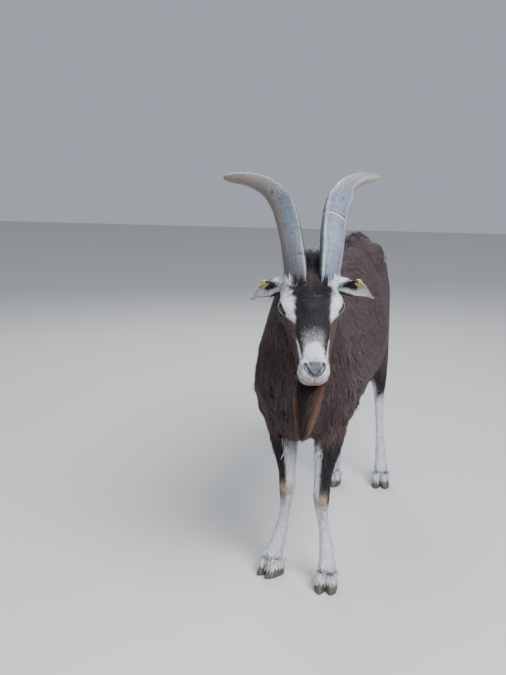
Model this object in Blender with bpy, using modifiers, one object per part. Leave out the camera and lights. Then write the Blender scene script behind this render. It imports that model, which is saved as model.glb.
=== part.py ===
"""A Thuringian Forest goat, a horned and bearded buck, standing still at life size.

Metres, +Z up. The goat faces -Y and its left side is +X. It is modelled whole, as one soft
form drawn over its limbs, and then parted by thin cuts where a person would name its parts.
"""

import math
import random
from collections import namedtuple

import bmesh
import bpy
from mathutils import Matrix, Vector
from mathutils.bvhtree import BVHTree

GAP = 0.0003
CENTRE_X = 0.006
WITHERS_HEIGHT = 0.802
CHEST_FLOOR = 0.355
BARREL_HALF_WIDTH = 0.146
CORONET_HEIGHT = 0.043

HEAD_MIDDLE = Vector((0.0886, -0.277, 0.720))
HEAD_TURN = math.radians(19)
NOSE_SLOPE = math.radians(52)
EYE_RADIUS = 0.0148
EYE_PLACE = Vector((0.0505, 0.002, 0.0))

FLESH_VOXEL = 0.0055
FLESH_SMOOTHING = 14
FLESH_TRIANGLES = 4100

# One cross-section of a limb or trunk: its middle, its half width, and how far it
# reaches over and under the middle. A pinch draws the upper half in, like an egg.
Ring = namedtuple("Ring", "x y z wide over under pinch", defaults=(0.0,))

parts = bpy.data.collections.new("thuringian_forest_goat")
tools = bpy.data.collections.new("cutters")


# Scene and materials

def clear_scene():
    for old in list(bpy.data.objects):
        bpy.data.objects.remove(old)
    bpy.context.scene.collection.children.link(parts)
    bpy.context.scene.collection.children.link(tools)


def make_material(name, colour, roughness):
    material = bpy.data.materials.new(name)
    material.use_nodes = True
    shader = material.node_tree.nodes["Principled BSDF"]
    shader.inputs["Base Color"].default_value = (*colour, 1.0)
    shader.inputs["Roughness"].default_value = roughness
    shader.inputs["Metallic"].default_value = 0.0
    return material


COLOURS = {
    "brown_coat": ((0.085, 0.050, 0.040), 0.75),
    "dark_coat": ((0.035, 0.022, 0.020), 0.75),
    "white_coat": ((0.72, 0.71, 0.74), 0.80),
    "horn": ((0.27, 0.25, 0.22), 0.45),
    "claw": ((0.075, 0.065, 0.055), 0.50),
    "eye": ((0.30, 0.19, 0.06), 0.10),
    "ear_tag": ((0.75, 0.60, 0.15), 0.40),
}


# Basic forms

def new_object(name, mesh, collection=tools):
    body = bpy.data.objects.new(name, mesh)
    collection.objects.link(body)
    return body


def from_bmesh(name, form):
    bmesh.ops.recalc_face_normals(form, faces=form.faces)
    mesh = bpy.data.meshes.new(name)
    form.to_mesh(mesh)
    form.free()
    return new_object(name, mesh)


def skin_rings(name, rings):
    """Joins closed rings of points, all of one count, and closes both ends with a fan."""
    form = bmesh.new()
    rows = [[form.verts.new(point) for point in ring] for ring in rings]
    count = len(rows[0])
    for row, after in zip(rows, rows[1:]):
        for i in range(count):
            j = (i + 1) % count
            form.faces.new((row[i], row[j], after[j], after[i]))
    for row in (rows[0], rows[-1]):
        middle = sum((vert.co for vert in row), Vector()) / count
        tip = form.verts.new(middle)
        for i in range(count):
            form.faces.new((row[i], row[(i + 1) % count], tip))
    return from_bmesh(name, form)


def tangents(points):
    last = len(points) - 1
    return [(points[min(i + 1, last)] - points[max(i - 1, 0)]).normalized() for i in range(last + 1)]


def limb(name, path, upward, sides=20):
    """A tube through rings. Each ring stands square to the path, with its top towards upward."""
    middles = [Vector((ring.x, ring.y, ring.z)) for ring in path]
    rows = []
    for ring, middle, along in zip(path, middles, tangents(middles)):
        across = along.cross(upward).normalized()
        over = across.cross(along)
        row = []
        for i in range(sides):
            turn = math.tau * i / sides
            rise = math.sin(turn)
            reach = ring.over if rise > 0 else ring.under
            width = ring.wide * math.cos(turn) * (1.0 - ring.pinch * rise)
            row.append(middle + across * width + over * (reach * rise))
        rows.append(row)
    return skin_rings(name, rows)


def ball(name, centre, radii, turn=Matrix.Identity(4), segments=20):
    form = bmesh.new()
    place = Matrix.Translation(centre) @ turn @ Matrix.Diagonal((*radii, 1.0))
    bmesh.ops.create_uvsphere(form, u_segments=segments, v_segments=segments * 3 // 5, radius=1.0,
                              matrix=place)
    return from_bmesh(name, form)


def face_outward(body):
    form = bmesh.new()
    form.from_mesh(body.data)
    bmesh.ops.recalc_face_normals(form, faces=form.faces)
    form.to_mesh(body.data)
    form.free()


def move_by(body, matrix):
    body.data.transform(matrix)
    return body


# Joining and cutting

def settle(body):
    """Makes a body's modifiers part of its mesh."""
    graph = bpy.context.evaluated_depsgraph_get()
    mesh = bpy.data.meshes.new_from_object(body.evaluated_get(graph))
    body.modifiers.clear()
    body.data = mesh
    return body


def join(name, bodies):
    """Puts several meshes into one object, without joining their surfaces."""
    form = bmesh.new()
    for body in bodies:
        form.from_mesh(body.data)
        bpy.data.objects.remove(body)
    return from_bmesh(name, form)


def boolean(body, others, operation, solver="EXACT"):
    """Unites a body with others, or cuts them out of it, and removes the others."""
    group = bpy.data.collections.new("operands")
    tools.children.link(group)
    for other in others:
        group.objects.link(other)
    modifier = body.modifiers.new("operation", "BOOLEAN")
    modifier.operation = operation
    modifier.operand_type = "COLLECTION"
    modifier.collection = group
    modifier.solver = solver
    settle(body)
    for other in others:
        bpy.data.objects.remove(other)
    bpy.data.collections.remove(group)
    return body


def duplicate(body, name):
    return new_object(name, body.data.copy())


def swollen(body, distance):
    """A copy of a body whose surface stands out by a distance, for cutting a clear gap."""
    copy = duplicate(body, body.name + "_swollen")
    modifier = copy.modifiers.new("swell", "DISPLACE")
    modifier.strength = distance
    modifier.mid_level = 0.0
    return settle(copy)


def shells(body):
    """Splits a body's mesh into its closed surfaces, as lists of face indices."""
    form = bmesh.new()
    form.from_mesh(body.data)
    form.faces.ensure_lookup_table()
    seen = set()
    found = []
    for start in form.faces:
        if start.index in seen:
            continue
        seen.add(start.index)
        group = [start]
        for face in group:
            for edge in face.edges:
                for near in edge.link_faces:
                    if near.index not in seen:
                        seen.add(near.index)
                        group.append(near)
        found.append([face.index for face in group])
    form.free()
    return found


def only_faces(body, name, keep):
    """A new body of some of the faces of another."""
    form = bmesh.new()
    form.from_mesh(body.data)
    form.faces.ensure_lookup_table()
    keep = set(keep)
    bmesh.ops.delete(form, geom=[face for face in form.faces if face.index not in keep],
                     context="FACES")
    mesh = bpy.data.meshes.new(name)
    form.to_mesh(mesh)
    form.free()
    return new_object(name, mesh)


def keep_largest(body):
    """Keeps a body's largest closed surface, so that it is one solid."""
    groups = shells(body)
    if len(groups) > 1:
        largest = max(groups, key=len)
        kept = only_faces(body, body.name + "_kept", largest)
        body.data = kept.data
        bpy.data.objects.remove(kept)
    return body


def part_shared_edges(form):
    """Where two flat pairs of triangles share one edge, gives one pair a middle point of its own."""
    form.normal_update()
    for edge in [edge for edge in form.edges if len(edge.link_faces) == 4]:
        first_loop, *loops = edge.link_loops
        first = first_loop.face
        others = [loop.face for loop in loops if loop.vert != first_loop.vert]
        mate = max(others, key=lambda face: face.normal.dot(first.normal))
        middle = form.verts.new((edge.verts[0].co + edge.verts[1].co) / 2)
        for face in (first, mate):
            corners = list(face.verts)
            while corners[2] in edge.verts:
                corners.append(corners.pop(0))
            start, end, far = corners
            form.faces.new((start, middle, far))
            form.faces.new((middle, end, far))
            bmesh.ops.delete(form, geom=[face], context="FACES_ONLY")


def tidy_mesh(body, distance=0.000002):
    """Welds points that coincide and makes triangles, so that every edge joins two of them."""
    form = bmesh.new()
    form.from_mesh(body.data)
    bmesh.ops.remove_doubles(form, verts=form.verts, dist=distance)
    bmesh.ops.dissolve_degenerate(form, dist=distance, edges=form.edges)
    bmesh.ops.triangulate(form, faces=form.faces)
    part_shared_edges(form)
    form.to_mesh(body.data)
    form.free()
    return body


def clear_of(body, neighbour, gap=GAP * 1.4):
    """Cuts a body back so that it meets a neighbour face to face, a gap apart."""
    boolean(body, [swollen(neighbour, gap)], "DIFFERENCE", "MANIFOLD")
    return keep_largest(body)


# The whole flesh, as soft forms that flow into each other

UP = Vector((0, 0, 1))
FORWARD = Vector((0, -1, 0))


def trunk():
    x = CENTRE_X
    path = [
        Ring(x, -0.128, 0.505, 0.046, 0.055, 0.055),
        Ring(x, -0.108, 0.510, 0.078, 0.090, 0.095, 0.10),
        Ring(x, -0.068, 0.520, 0.097, 0.155, 0.143, 0.20),
        Ring(x, -0.020, 0.530, 0.108, 0.222, 0.166, 0.30),
        Ring(x, 0.040, 0.535, 0.114, WITHERS_HEIGHT - 0.535, 0.535 - CHEST_FLOOR, 0.38),
        Ring(x, 0.120, 0.545, 0.123, 0.246, 0.182, 0.34),
        Ring(x, 0.220, 0.560, 0.136, 0.216, 0.184, 0.20),
        Ring(x, 0.330, 0.565, BARREL_HALF_WIDTH, 0.208, 0.178, 0.12),
        Ring(x, 0.430, 0.575, 0.136, 0.204, 0.172, 0.12),
        Ring(x, 0.520, 0.595, 0.110, 0.194, 0.160, 0.18),
        Ring(x, 0.600, 0.620, 0.100, 0.172, 0.140, 0.14),
        Ring(x, 0.680, 0.635, 0.092, 0.150, 0.120, 0.15),
        Ring(x, 0.750, 0.640, 0.078, 0.118, 0.095, 0.18),
        Ring(x, 0.800, 0.645, 0.055, 0.078, 0.065, 0.15),
        Ring(x, 0.826, 0.648, 0.034, 0.044, 0.040),
    ]
    return limb("trunk", path, UP, sides=28)


def neck_form():
    path = [
        Ring(CENTRE_X, 0.055, 0.600, 0.092, 0.165, 0.150, 0.34),
        Ring(0.012, -0.025, 0.645, 0.088, 0.138, 0.140, 0.34),
        Ring(0.024, -0.085, 0.682, 0.075, 0.112, 0.108, 0.28),
        Ring(0.040, -0.135, 0.716, 0.063, 0.083, 0.074, 0.22),
        Ring(0.056, -0.178, 0.742, 0.055, 0.061, 0.052, 0.15),
        Ring(0.072, -0.215, 0.757, 0.047, 0.046, 0.046, 0.10),
    ]
    return limb("neck", path, UP, sides=24)


HEAD_FRAME = (Matrix.Translation(HEAD_MIDDLE) @ Matrix.Rotation(HEAD_TURN, 4, "Z")
              @ Matrix.Rotation(NOSE_SLOPE, 4, "X"))


def skull_form():
    """The head in its own frame: the nose points to -Y and the eyes lie at y = 0, z = 0."""
    path = [
        Ring(0, 0.108, -0.040, 0.034, 0.034, 0.036),
        Ring(0, 0.086, -0.034, 0.050, 0.050, 0.054),
        Ring(0, 0.056, -0.030, 0.0595, 0.058, 0.072),
        Ring(0, 0.020, -0.026, 0.0615, 0.057, 0.076),
        Ring(0, -0.015, -0.024, 0.0570, 0.050, 0.072),
        Ring(0, -0.045, -0.024, 0.0490, 0.042, 0.061),
        Ring(0, -0.075, -0.024, 0.0415, 0.034, 0.050),
        Ring(0, -0.100, -0.026, 0.0365, 0.030, 0.042),
        Ring(0, -0.124, -0.029, 0.0345, 0.029, 0.037),
        Ring(0, -0.142, -0.033, 0.0320, 0.026, 0.034),
        Ring(0, -0.154, -0.037, 0.0240, 0.019, 0.026),
    ]
    pieces = [limb("skull", path, UP, sides=28)]
    for side in (-1, 1):
        pieces.append(ball("orbit", (side * 0.0475, 0.004, 0.002), (0.0220, 0.030, 0.0240)))
        pieces.append(ball("cheek", (side * 0.0375, 0.026, -0.062), (0.022, 0.042, 0.038)))
        pieces.append(ball("nostril_wing", (side * 0.0185, -0.138, -0.017), (0.014, 0.019, 0.013)))
        pieces.append(ball("upper_lip", (side * 0.0175, -0.132, -0.046), (0.0170, 0.022, 0.015)))
        pieces.append(ball("horn_root", (side * 0.031, 0.064, 0.002), (0.025, 0.030, 0.026)))
    pieces.append(ball("chin", (0, -0.122, -0.066), (0.0190, 0.024, 0.015)))
    for piece in pieces:
        move_by(piece, HEAD_FRAME)
    return pieces


def fore_leg_form(side):
    """A foreleg, from the shoulder blade to the coronet. The right one stands a little back."""
    if side > 0:
        path = [
            Ring(0.060, 0.045, 0.660, 0.036, 0.062, 0.070),
            Ring(0.074, 0.000, 0.560, 0.044, 0.080, 0.080),
            Ring(0.076, 0.005, 0.480, 0.045, 0.080, 0.076),
            Ring(0.075, 0.022, 0.410, 0.042, 0.058, 0.056),
            Ring(0.067, 0.012, 0.355, 0.034, 0.044, 0.043),
            Ring(0.060, 0.000, 0.300, 0.0275, 0.033, 0.032),
            Ring(0.056, -0.008, 0.250, 0.0225, 0.025, 0.0245),
            Ring(0.0555, -0.012, 0.215, 0.0228, 0.025, 0.0235),
            Ring(0.0565, -0.008, 0.185, 0.0190, 0.019, 0.020),
            Ring(0.0600, -0.005, 0.150, 0.0158, 0.0165, 0.0185),
            Ring(0.0650, -0.005, 0.120, 0.0170, 0.0175, 0.0195),
            Ring(0.0685, -0.008, 0.100, 0.0200, 0.0195, 0.0240),
            Ring(0.0720, -0.019, 0.074, 0.0210, 0.0185, 0.0220),
            Ring(0.0755, -0.030, 0.050, 0.0250, 0.0235, 0.0260),
            Ring(0.0770, -0.036, 0.022, 0.0270, 0.0260, 0.0280),
        ]
    else:
        path = [
            Ring(-0.050, 0.055, 0.660, 0.036, 0.062, 0.070),
            Ring(-0.062, 0.005, 0.560, 0.044, 0.080, 0.080),
            Ring(-0.065, 0.012, 0.480, 0.047, 0.080, 0.076),
            Ring(-0.060, 0.036, 0.410, 0.043, 0.058, 0.056),
            Ring(-0.049, 0.034, 0.355, 0.034, 0.044, 0.043),
            Ring(-0.041, 0.028, 0.300, 0.0275, 0.033, 0.032),
            Ring(-0.036, 0.022, 0.255, 0.0225, 0.025, 0.0245),
            Ring(-0.035, 0.018, 0.225, 0.0228, 0.025, 0.0235),
            Ring(-0.038, 0.021, 0.195, 0.0190, 0.019, 0.020),
            Ring(-0.044, 0.026, 0.158, 0.0158, 0.0165, 0.0185),
            Ring(-0.051, 0.030, 0.124, 0.0170, 0.0175, 0.0195),
            Ring(-0.056, 0.030, 0.102, 0.0200, 0.0195, 0.0240),
            Ring(-0.062, 0.022, 0.076, 0.0210, 0.0185, 0.0220),
            Ring(-0.069, 0.012, 0.050, 0.0250, 0.0235, 0.0260),
            Ring(-0.072, 0.006, 0.022, 0.0270, 0.0260, 0.0280),
        ]
    return limb("fore_leg", path, FORWARD, sides=16)


def hind_leg_form(side):
    """A hind leg, from the hip to the coronet. The right one stands a little forward."""
    step = 0.0 if side > 0 else -0.030
    path = [
        Ring(0.040, 0.690, 0.700, 0.040, 0.080, 0.080),
        Ring(0.048, 0.680, 0.620, 0.046, 0.105, 0.115),
        Ring(0.051, 0.668, 0.540, 0.046, 0.095, 0.112),
        Ring(0.057, 0.660, 0.470, 0.043, 0.075, 0.090),
        Ring(0.060, 0.682, 0.410, 0.036, 0.055, 0.060),
        Ring(0.058, 0.725, 0.350, 0.0265, 0.038, 0.040),
        Ring(0.0555, 0.762, 0.300, 0.0200, 0.027, 0.032),
        Ring(0.0550, 0.768, 0.258, 0.0168, 0.020, 0.024),
        Ring(0.0590, 0.760, 0.195, 0.0145, 0.0165, 0.0185),
        Ring(0.0640, 0.752, 0.130, 0.0160, 0.0180, 0.0195),
        Ring(0.0670, 0.748, 0.100, 0.0200, 0.0205, 0.0240),
        Ring(0.0700, 0.738, 0.074, 0.0200, 0.0185, 0.0215),
        Ring(0.0730, 0.727, 0.050, 0.0240, 0.0230, 0.0255),
        Ring(0.0740, 0.722, 0.022, 0.0260, 0.0255, 0.0275),
    ]
    stance = []
    for ring in path:
        low = max(0.0, 1.0 - ring.z / 0.6)
        stance.append(ring._replace(x=CENTRE_X + side * ring.x, y=ring.y + step * low))
    return limb("hind_leg", stance, FORWARD, sides=16)


def muscle_forms():
    """Swellings of bone and muscle that the limbs' sections don't show."""
    forms = []
    for side in (-1, 1):
        forms.append(ball("hip_bone", (CENTRE_X + side * 0.056, 0.585, 0.722), (0.036, 0.085, 0.048)))
        forms.append(ball("shoulder_point", (CENTRE_X + side * 0.070, -0.058, 0.520),
                          (0.035, 0.042, 0.060)))
        forms.append(ball("stifle", (CENTRE_X + side * 0.068, 0.592, 0.490), (0.034, 0.048, 0.066)))
        forms.append(ball("flank_fold", (CENTRE_X + side * 0.070, 0.560, 0.475),
                          (0.018, 0.060, 0.045)))
    forms.append(ball("brisket", (CENTRE_X, -0.030, 0.455), (0.070, 0.080, 0.092)))
    return forms


def flesh():
    """One soft, closed surface over the trunk, neck, head and legs."""
    pieces = [trunk(), neck_form(), *skull_form(), *muscle_forms()]
    for side in (-1, 1):
        pieces.append(fore_leg_form(side))
        pieces.append(hind_leg_form(side))
    whole = join("flesh", pieces)
    remesh = whole.modifiers.new("one_surface", "REMESH")
    remesh.mode = "VOXEL"
    remesh.voxel_size = FLESH_VOXEL
    smooth = whole.modifiers.new("soft", "SMOOTH")
    smooth.factor = 0.5
    smooth.iterations = FLESH_SMOOTHING
    settle(whole)
    return thin_out(whole, FLESH_TRIANGLES)


def thin_out(body, triangles):
    """Takes points away where the surface is flat, but keeps more of them on the head."""
    count = sum(len(face.vertices) - 2 for face in body.data.polygons)
    group = body.vertex_groups.new(name="body")
    back = HEAD_FRAME.inverted()
    for vert in body.data.vertices:
        local = back @ vert.co
        on_head = local.y < 0.12 and abs(local.x) < 0.09 and local.z > -0.13
        low_leg = vert.co.z < 0.30
        group.add([vert.index], 0.95 if on_head else 0.98 if low_leg else 1.0, "REPLACE")
    modifier = body.modifiers.new("fewer", "DECIMATE")
    modifier.ratio = triangles / count
    modifier.vertex_group = group.name
    modifier.vertex_group_factor = 0.02
    settle(body)
    body.vertex_groups.clear()
    return body


# Horns, eyes, ears and what they carry, in the head's own frame

# The middle of a horn from its base to its tip, in the head's frame: outward, back and up.
HORN_PATH = [
    (0.0335, 0.052, -0.012),
    (0.0345, 0.071, 0.015),
    (0.038, 0.106, 0.030),
    (0.043, 0.151, 0.035),
    (0.053, 0.212, 0.029),
    (0.064, 0.249, 0.017),
    (0.083, 0.292, -0.003),
    (0.123, 0.335, -0.031),
    (0.174, 0.372, -0.074),
]
HORN_STEPS = 20
HORN_SIDES = 12
# Half width at the base and how much fuller it grows, for the left horn, 1, and the right, -1.
HORN_FORM = {1: (0.0215, 0.20), -1: (0.0238, -0.04)}
HORN_DEPTH = 1.38
HORN_LEAN = 0.0075
HORN_SHIFT = 0.0040
BEND_PLACE = 0.64
BEND_REACH = 0.15
BEND_SWELL = 0.16
KEEL_TURN = math.radians(128)
FLAT_TURN = math.radians(60)


def curve_point(points, t):
    """A point on a smooth curve through all of the given points, for t from 0 to 1."""
    place = t * (len(points) - 1)
    i = min(int(place), len(points) - 2)
    f = place - i
    p0 = points[max(i - 1, 0)]
    p1 = points[i]
    p2 = points[i + 1]
    p3 = points[min(i + 2, len(points) - 1)]
    return 0.5 * (2 * p1 + (p2 - p0) * f + (2 * p0 - 5 * p1 + 4 * p2 - p3) * f * f
                  + (3 * p1 - p0 - 3 * p2 + p3) * f ** 3)


def horn_bend(side, t):
    """How near a place on the left horn is to its bend, from 0 to 1. The right horn has none."""
    return math.exp(-((t - BEND_PLACE) / BEND_REACH) ** 2) if side > 0 else 0.0


def horn_width(side, t):
    """Half width of a horn along its length: fullest below the bend, blunt at the tip."""
    base, fuller = HORN_FORM[side]
    swell = 1.0 + fuller * math.sin(math.pi * min(1.0, t / 0.85)) ** 2
    swell *= 1.0 + BEND_SWELL * horn_bend(side, t)
    taper = 1.0 - 0.62 * max(0.0, (t - 0.45) / 0.55) ** 1.3
    tip = math.sqrt(max(0.0, 1.0 - max(0.0, (t - 0.93) / 0.075) ** 2))
    return base * swell * taper * tip


def horn_lean(side, t):
    """Both horns lean to the goat's left, the left horn further, most of all at its bend."""
    if side < 0:
        return Vector((HORN_SHIFT, 0, 0))
    even = min(1.0, 0.35 + 2.2 * t) * (1.0 - 0.5 * t)
    return Vector((HORN_LEAN * (even + horn_bend(side, t)), 0, 0))


def horn(side):
    """A scimitar horn, flat in front and outside, with a keel along its inner front edge."""
    points = [Vector((side * x, y, z)) for x, y, z in HORN_PATH]
    times = [i / HORN_STEPS for i in range(HORN_STEPS + 1)]
    middles = [curve_point(points, t) + horn_lean(side, t) for t in times]
    rows = []
    for t, middle, along in zip(times, middles, tangents(middles)):
        outward = Vector((side, 0, 0))
        outward = (outward - along * outward.dot(along)).normalized()
        front = outward.cross(along) * side
        wide = horn_width(side, t)
        deep = wide * HORN_DEPTH * (1.0 - 0.25 * t)
        row = []
        for i in range(HORN_SIDES):
            turn = math.tau * i / HORN_SIDES
            out, ahead = math.cos(turn), math.sin(turn)
            keel = 0.20 * max(0.0, math.cos(turn - KEEL_TURN)) ** 6
            flat = 1.0 - 0.10 * max(0.0, math.cos(turn - FLAT_TURN)) ** 2
            row.append(middle + (outward * out * wide + front * ahead * deep) * (flat + keel))
        rows.append(row)
    body = skin_rings("horn", rows)
    return move_by(body, HEAD_FRAME)


EYE_AIM = Vector((0.87, -0.44, 0.10)).normalized()


def eye_frame(side):
    """A frame at an eyeball, with its Z axis looking out and its X axis along the slit."""
    aim = Vector((side * EYE_AIM.x, EYE_AIM.y, EYE_AIM.z))
    slit = Vector((0, -1, -0.28))
    slit = (slit - aim * slit.dot(aim)).normalized()
    across = aim.cross(slit)
    axes = Matrix((slit, across, aim)).transposed().to_4x4()
    place = Vector((side * EYE_PLACE.x, EYE_PLACE.y, EYE_PLACE.z))
    return HEAD_FRAME @ Matrix.Translation(place) @ axes


def eyeball(side, radius=EYE_RADIUS, segments=16):
    body = ball("eyeball", (0, 0, 0), (radius, radius, radius), segments=segments)
    return move_by(body, eye_frame(side))


LID_THICKNESS = 0.0026
SLIT_LENGTH = 0.029
SLIT_HEIGHT = 0.0135


def lid_shell(side):
    body = ball("lids", (0, 0, 0), (EYE_RADIUS + LID_THICKNESS,) * 3, segments=16)
    return move_by(body, eye_frame(side))


def slit(side):
    """The almond opening between the lids."""
    body = ball("slit", (0, -0.001, EYE_RADIUS), (SLIT_LENGTH / 2, SLIT_HEIGHT / 2, 0.016), segments=12)
    return move_by(body, eye_frame(side))


# Across, forward and up in the head's frame, and the hollow's radius there.
NOSTRIL_PATH = [
    (0.0225, -0.141, -0.010, 0.0022),
    (0.0190, -0.147, -0.010, 0.0034),
    (0.0145, -0.154, -0.015, 0.0038),
    (0.0105, -0.159, -0.023, 0.0030),
    (0.0080, -0.160, -0.030, 0.0016),
]


def nostril(side):
    """A comma-shaped hollow from the outer top of the nose to beside its middle."""
    path = [Ring(side * x, y, z, thick, thick, thick) for x, y, z, thick in NOSTRIL_PATH]
    return move_by(limb("nostril", path, Vector((0, -0.6, 0.8)), sides=8), HEAD_FRAME)


EAR_ROOT = Vector((0.048, 0.075, -0.018))
EAR_TIP = Vector((0.130, 0.070, -0.092))
EAR_FACING = Vector((-0.10, -0.86, 0.42))
EAR_THICKNESS = 0.0032
EAR_DROOP = 0.012
EAR_SWAY = 0.014
EAR_ROLL_AT_ROOT = math.radians(140)
EAR_ROLL_OPEN = math.radians(56)
EAR_STEPS = 9
EAR_ACROSS = 6


def ear_line(side, s):
    """The middle of the ear's back at a share s of its length. Both ears sway to the goat's left."""
    root = Vector((side * EAR_ROOT.x, EAR_ROOT.y, EAR_ROOT.z))
    tip = Vector((side * EAR_TIP.x, EAR_TIP.y, EAR_TIP.z))
    return root.lerp(tip, s) + UP * (EAR_DROOP * math.sin(math.pi * s)) + Vector((EAR_SWAY * s, 0, 0))


def ear_axes(side):
    along = EAR_TIP - EAR_ROOT
    along = Vector((side * along.x, along.y, along.z)).normalized()
    facing = Vector((side * EAR_FACING.x, EAR_FACING.y, EAR_FACING.z))
    facing = (facing - along * facing.dot(along)).normalized()
    return along, facing, along.cross(facing) * side


def ear(side):
    """A drooping ear, rolled to a tube at its root, cupped along its middle, thin at the tip."""
    along, facing, across = ear_axes(side)
    form = bmesh.new()
    rows = []
    for i in range(EAR_STEPS + 1):
        s = i / EAR_STEPS
        middle = ear_line(side, s)
        half = EAR_ROLL_AT_ROOT + (EAR_ROLL_OPEN - EAR_ROLL_AT_ROOT) * min(1.0, s / 0.38) ** 0.8
        radius = 0.0135 + 0.0115 * math.sin(math.pi * min(1.0, s / 0.9)) - 0.0070 * s
        radius *= 1.0 - 0.86 * max(0.0, (s - 0.50) / 0.50) ** 1.4
        row = []
        for j in range(EAR_ACROSS + 1):
            roll = half * (2.0 * j / EAR_ACROSS - 1.0)
            spot = middle + across * (radius * math.sin(roll)) + facing * (radius * (1 - math.cos(roll)))
            row.append(form.verts.new(spot))
        rows.append(row)
    for row, after in zip(rows, rows[1:]):
        for a, b, c, d in zip(row, row[1:], after[1:], after):
            form.faces.new((a, b, c, d))
    body = from_bmesh("ear", form)
    shell = body.modifiers.new("thickness", "SOLIDIFY")
    shell.thickness = EAR_THICKNESS
    shell.offset = 0.0
    shell.use_even_offset = True
    settle(body)
    face_outward(body)
    return move_by(body, HEAD_FRAME)


TAG_SHARE = 0.50
TAG_SIZE = (0.026, 0.0016, 0.016)
TAG_HEIGHT = 0.0135
TAG_TILT = math.radians(-18)
TAG_SPIN = math.radians(-15)


def ear_tag(side):
    """A plate in front of the ear's upper edge, on a stud that ends in a button behind it."""
    along, facing, across = ear_axes(side)
    middle = ear_line(side, TAG_SHARE)
    up = across if across.z > 0 else -across
    stud_place = middle + up * TAG_HEIGHT + facing * 0.004
    axes = Matrix((facing.cross(up), facing, up)).transposed().to_4x4()
    turn = Matrix.Rotation(TAG_TILT, 4, "X") @ Matrix.Rotation(TAG_SPIN * side, 4, "Y")
    frame = HEAD_FRAME @ Matrix.Translation(stud_place) @ axes @ turn
    plate = box("tag_plate", (0, 0.0045, 0.004), TAG_SIZE)
    stud = pin("tag_stud", -0.0052, 0.0045, 0.0022)
    button = pin("tag_button", -0.0072, -0.0050, 0.0065)
    boolean(plate, [stud, button], "UNION")
    return move_by(plate, frame)


def box(name, centre, size):
    form = bmesh.new()
    bmesh.ops.create_cube(form, size=1.0, matrix=Matrix.Translation(centre) @ Matrix.Diagonal((*size, 1)))
    return from_bmesh(name, form)


def pin(name, start, end, radius):
    """A short round pin along its frame's Y axis."""
    form = bmesh.new()
    turn = Matrix.Translation((0, (start + end) / 2, 0)) @ Matrix.Rotation(math.radians(90), 4, "X")
    bmesh.ops.create_cone(form, cap_ends=True, segments=12, radius1=radius, radius2=radius,
                          depth=abs(end - start), matrix=turn)
    return from_bmesh(name, form)


# Claws

# Each foot: the middle of its sole, and how far its toes turn out.
Foot = namedtuple("Foot", "name x y turn")

FEET = [
    Foot("fore_left", 0.0765, -0.040, math.radians(6)),
    Foot("fore_right", -0.0725, 0.008, math.radians(-30)),
    Foot("hind_left", CENTRE_X + 0.074, 0.718, math.radians(8)),
    Foot("hind_right", CENTRE_X - 0.074, 0.690, math.radians(-8)),
]
CLAW_SIDES = 12
CORONET_TILT = math.radians(14)


def foot_frame(foot):
    return Matrix.Translation((foot.x, foot.y, 0)) @ Matrix.Rotation(foot.turn, 4, "Z")


def claw_outline(side, width, toe, heel, inner, height, lean):
    """One level of a claw: flat inside, rounded outside, pointed at the toe."""
    row = []
    for i in range(CLAW_SIDES):
        turn = math.tau * i / CLAW_SIDES
        ahead = -math.sin(turn)
        y = ahead * (toe if ahead < 0 else heel)
        narrow = 1.0 - 0.45 * max(0.0, -ahead) ** 3
        x = max(inner, inner + width * (0.5 + 0.62 * math.cos(turn) * narrow))
        row.append(Vector((side * min(x, inner + width), y + lean, height)))
    return row


def claw(foot, side):
    """One of a foot's two claws, from its flat sole up to the coronet."""
    levels = [
        claw_outline(side, 0.0250, 0.036, 0.028, 0.0012, 0.0, 0.0),
        claw_outline(side, 0.0255, 0.0355, 0.028, 0.0012, 0.006, 0.0005),
        claw_outline(side, 0.0245, 0.028, 0.0265, 0.0010, 0.026, 0.004),
        claw_outline(side, 0.0215, 0.020, 0.0240, 0.0008, 0.052, 0.009),
    ]
    body = skin_rings("claw", levels)
    move_by(body, foot_frame(foot))
    boolean(body, [above_coronet(foot, GAP / 2)], "DIFFERENCE")
    return keep_largest(body)


def coronet_block(foot, shift, up):
    """A block above (up = 1) or below (up = -1) the slanting plane where claw and skin meet."""
    size = 0.12
    plane = (Matrix.Translation((0, 0, CORONET_HEIGHT + shift))
             @ Matrix.Rotation(-CORONET_TILT, 4, "X"))
    form = bmesh.new()
    bmesh.ops.create_cube(form, size=size, matrix=plane @ Matrix.Translation((0, 0, up * size / 2)))
    return move_by(from_bmesh("coronet", form), foot_frame(foot))


def above_coronet(foot, gap):
    return coronet_block(foot, -gap, 1)


def below_coronet(foot, gap):
    return coronet_block(foot, gap, -1)


# Parting the flesh

def head_place(x, y, z):
    return HEAD_FRAME @ Vector((x, y, z))


def head_direction(x, y, z):
    return (HEAD_FRAME.to_3x3() @ Vector((x, y, z))).normalized()


def slab_between(name, start, end, across, wide):
    """A thin slab whose face runs from start to end, and to both sides along across."""
    along = end - start
    normal = along.cross(across).normalized()
    across = across.normalized()
    form = bmesh.new()
    axes = Matrix((across, normal, along.normalized())).transposed().to_4x4()
    place = Matrix.Translation((start + end) / 2) @ axes @ Matrix.Diagonal((wide, GAP, along.length, 1.0))
    bmesh.ops.create_cube(form, size=1.0, matrix=place)
    return from_bmesh(name, form)


SIDEWAYS = Vector((1, 0, 0))


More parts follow.
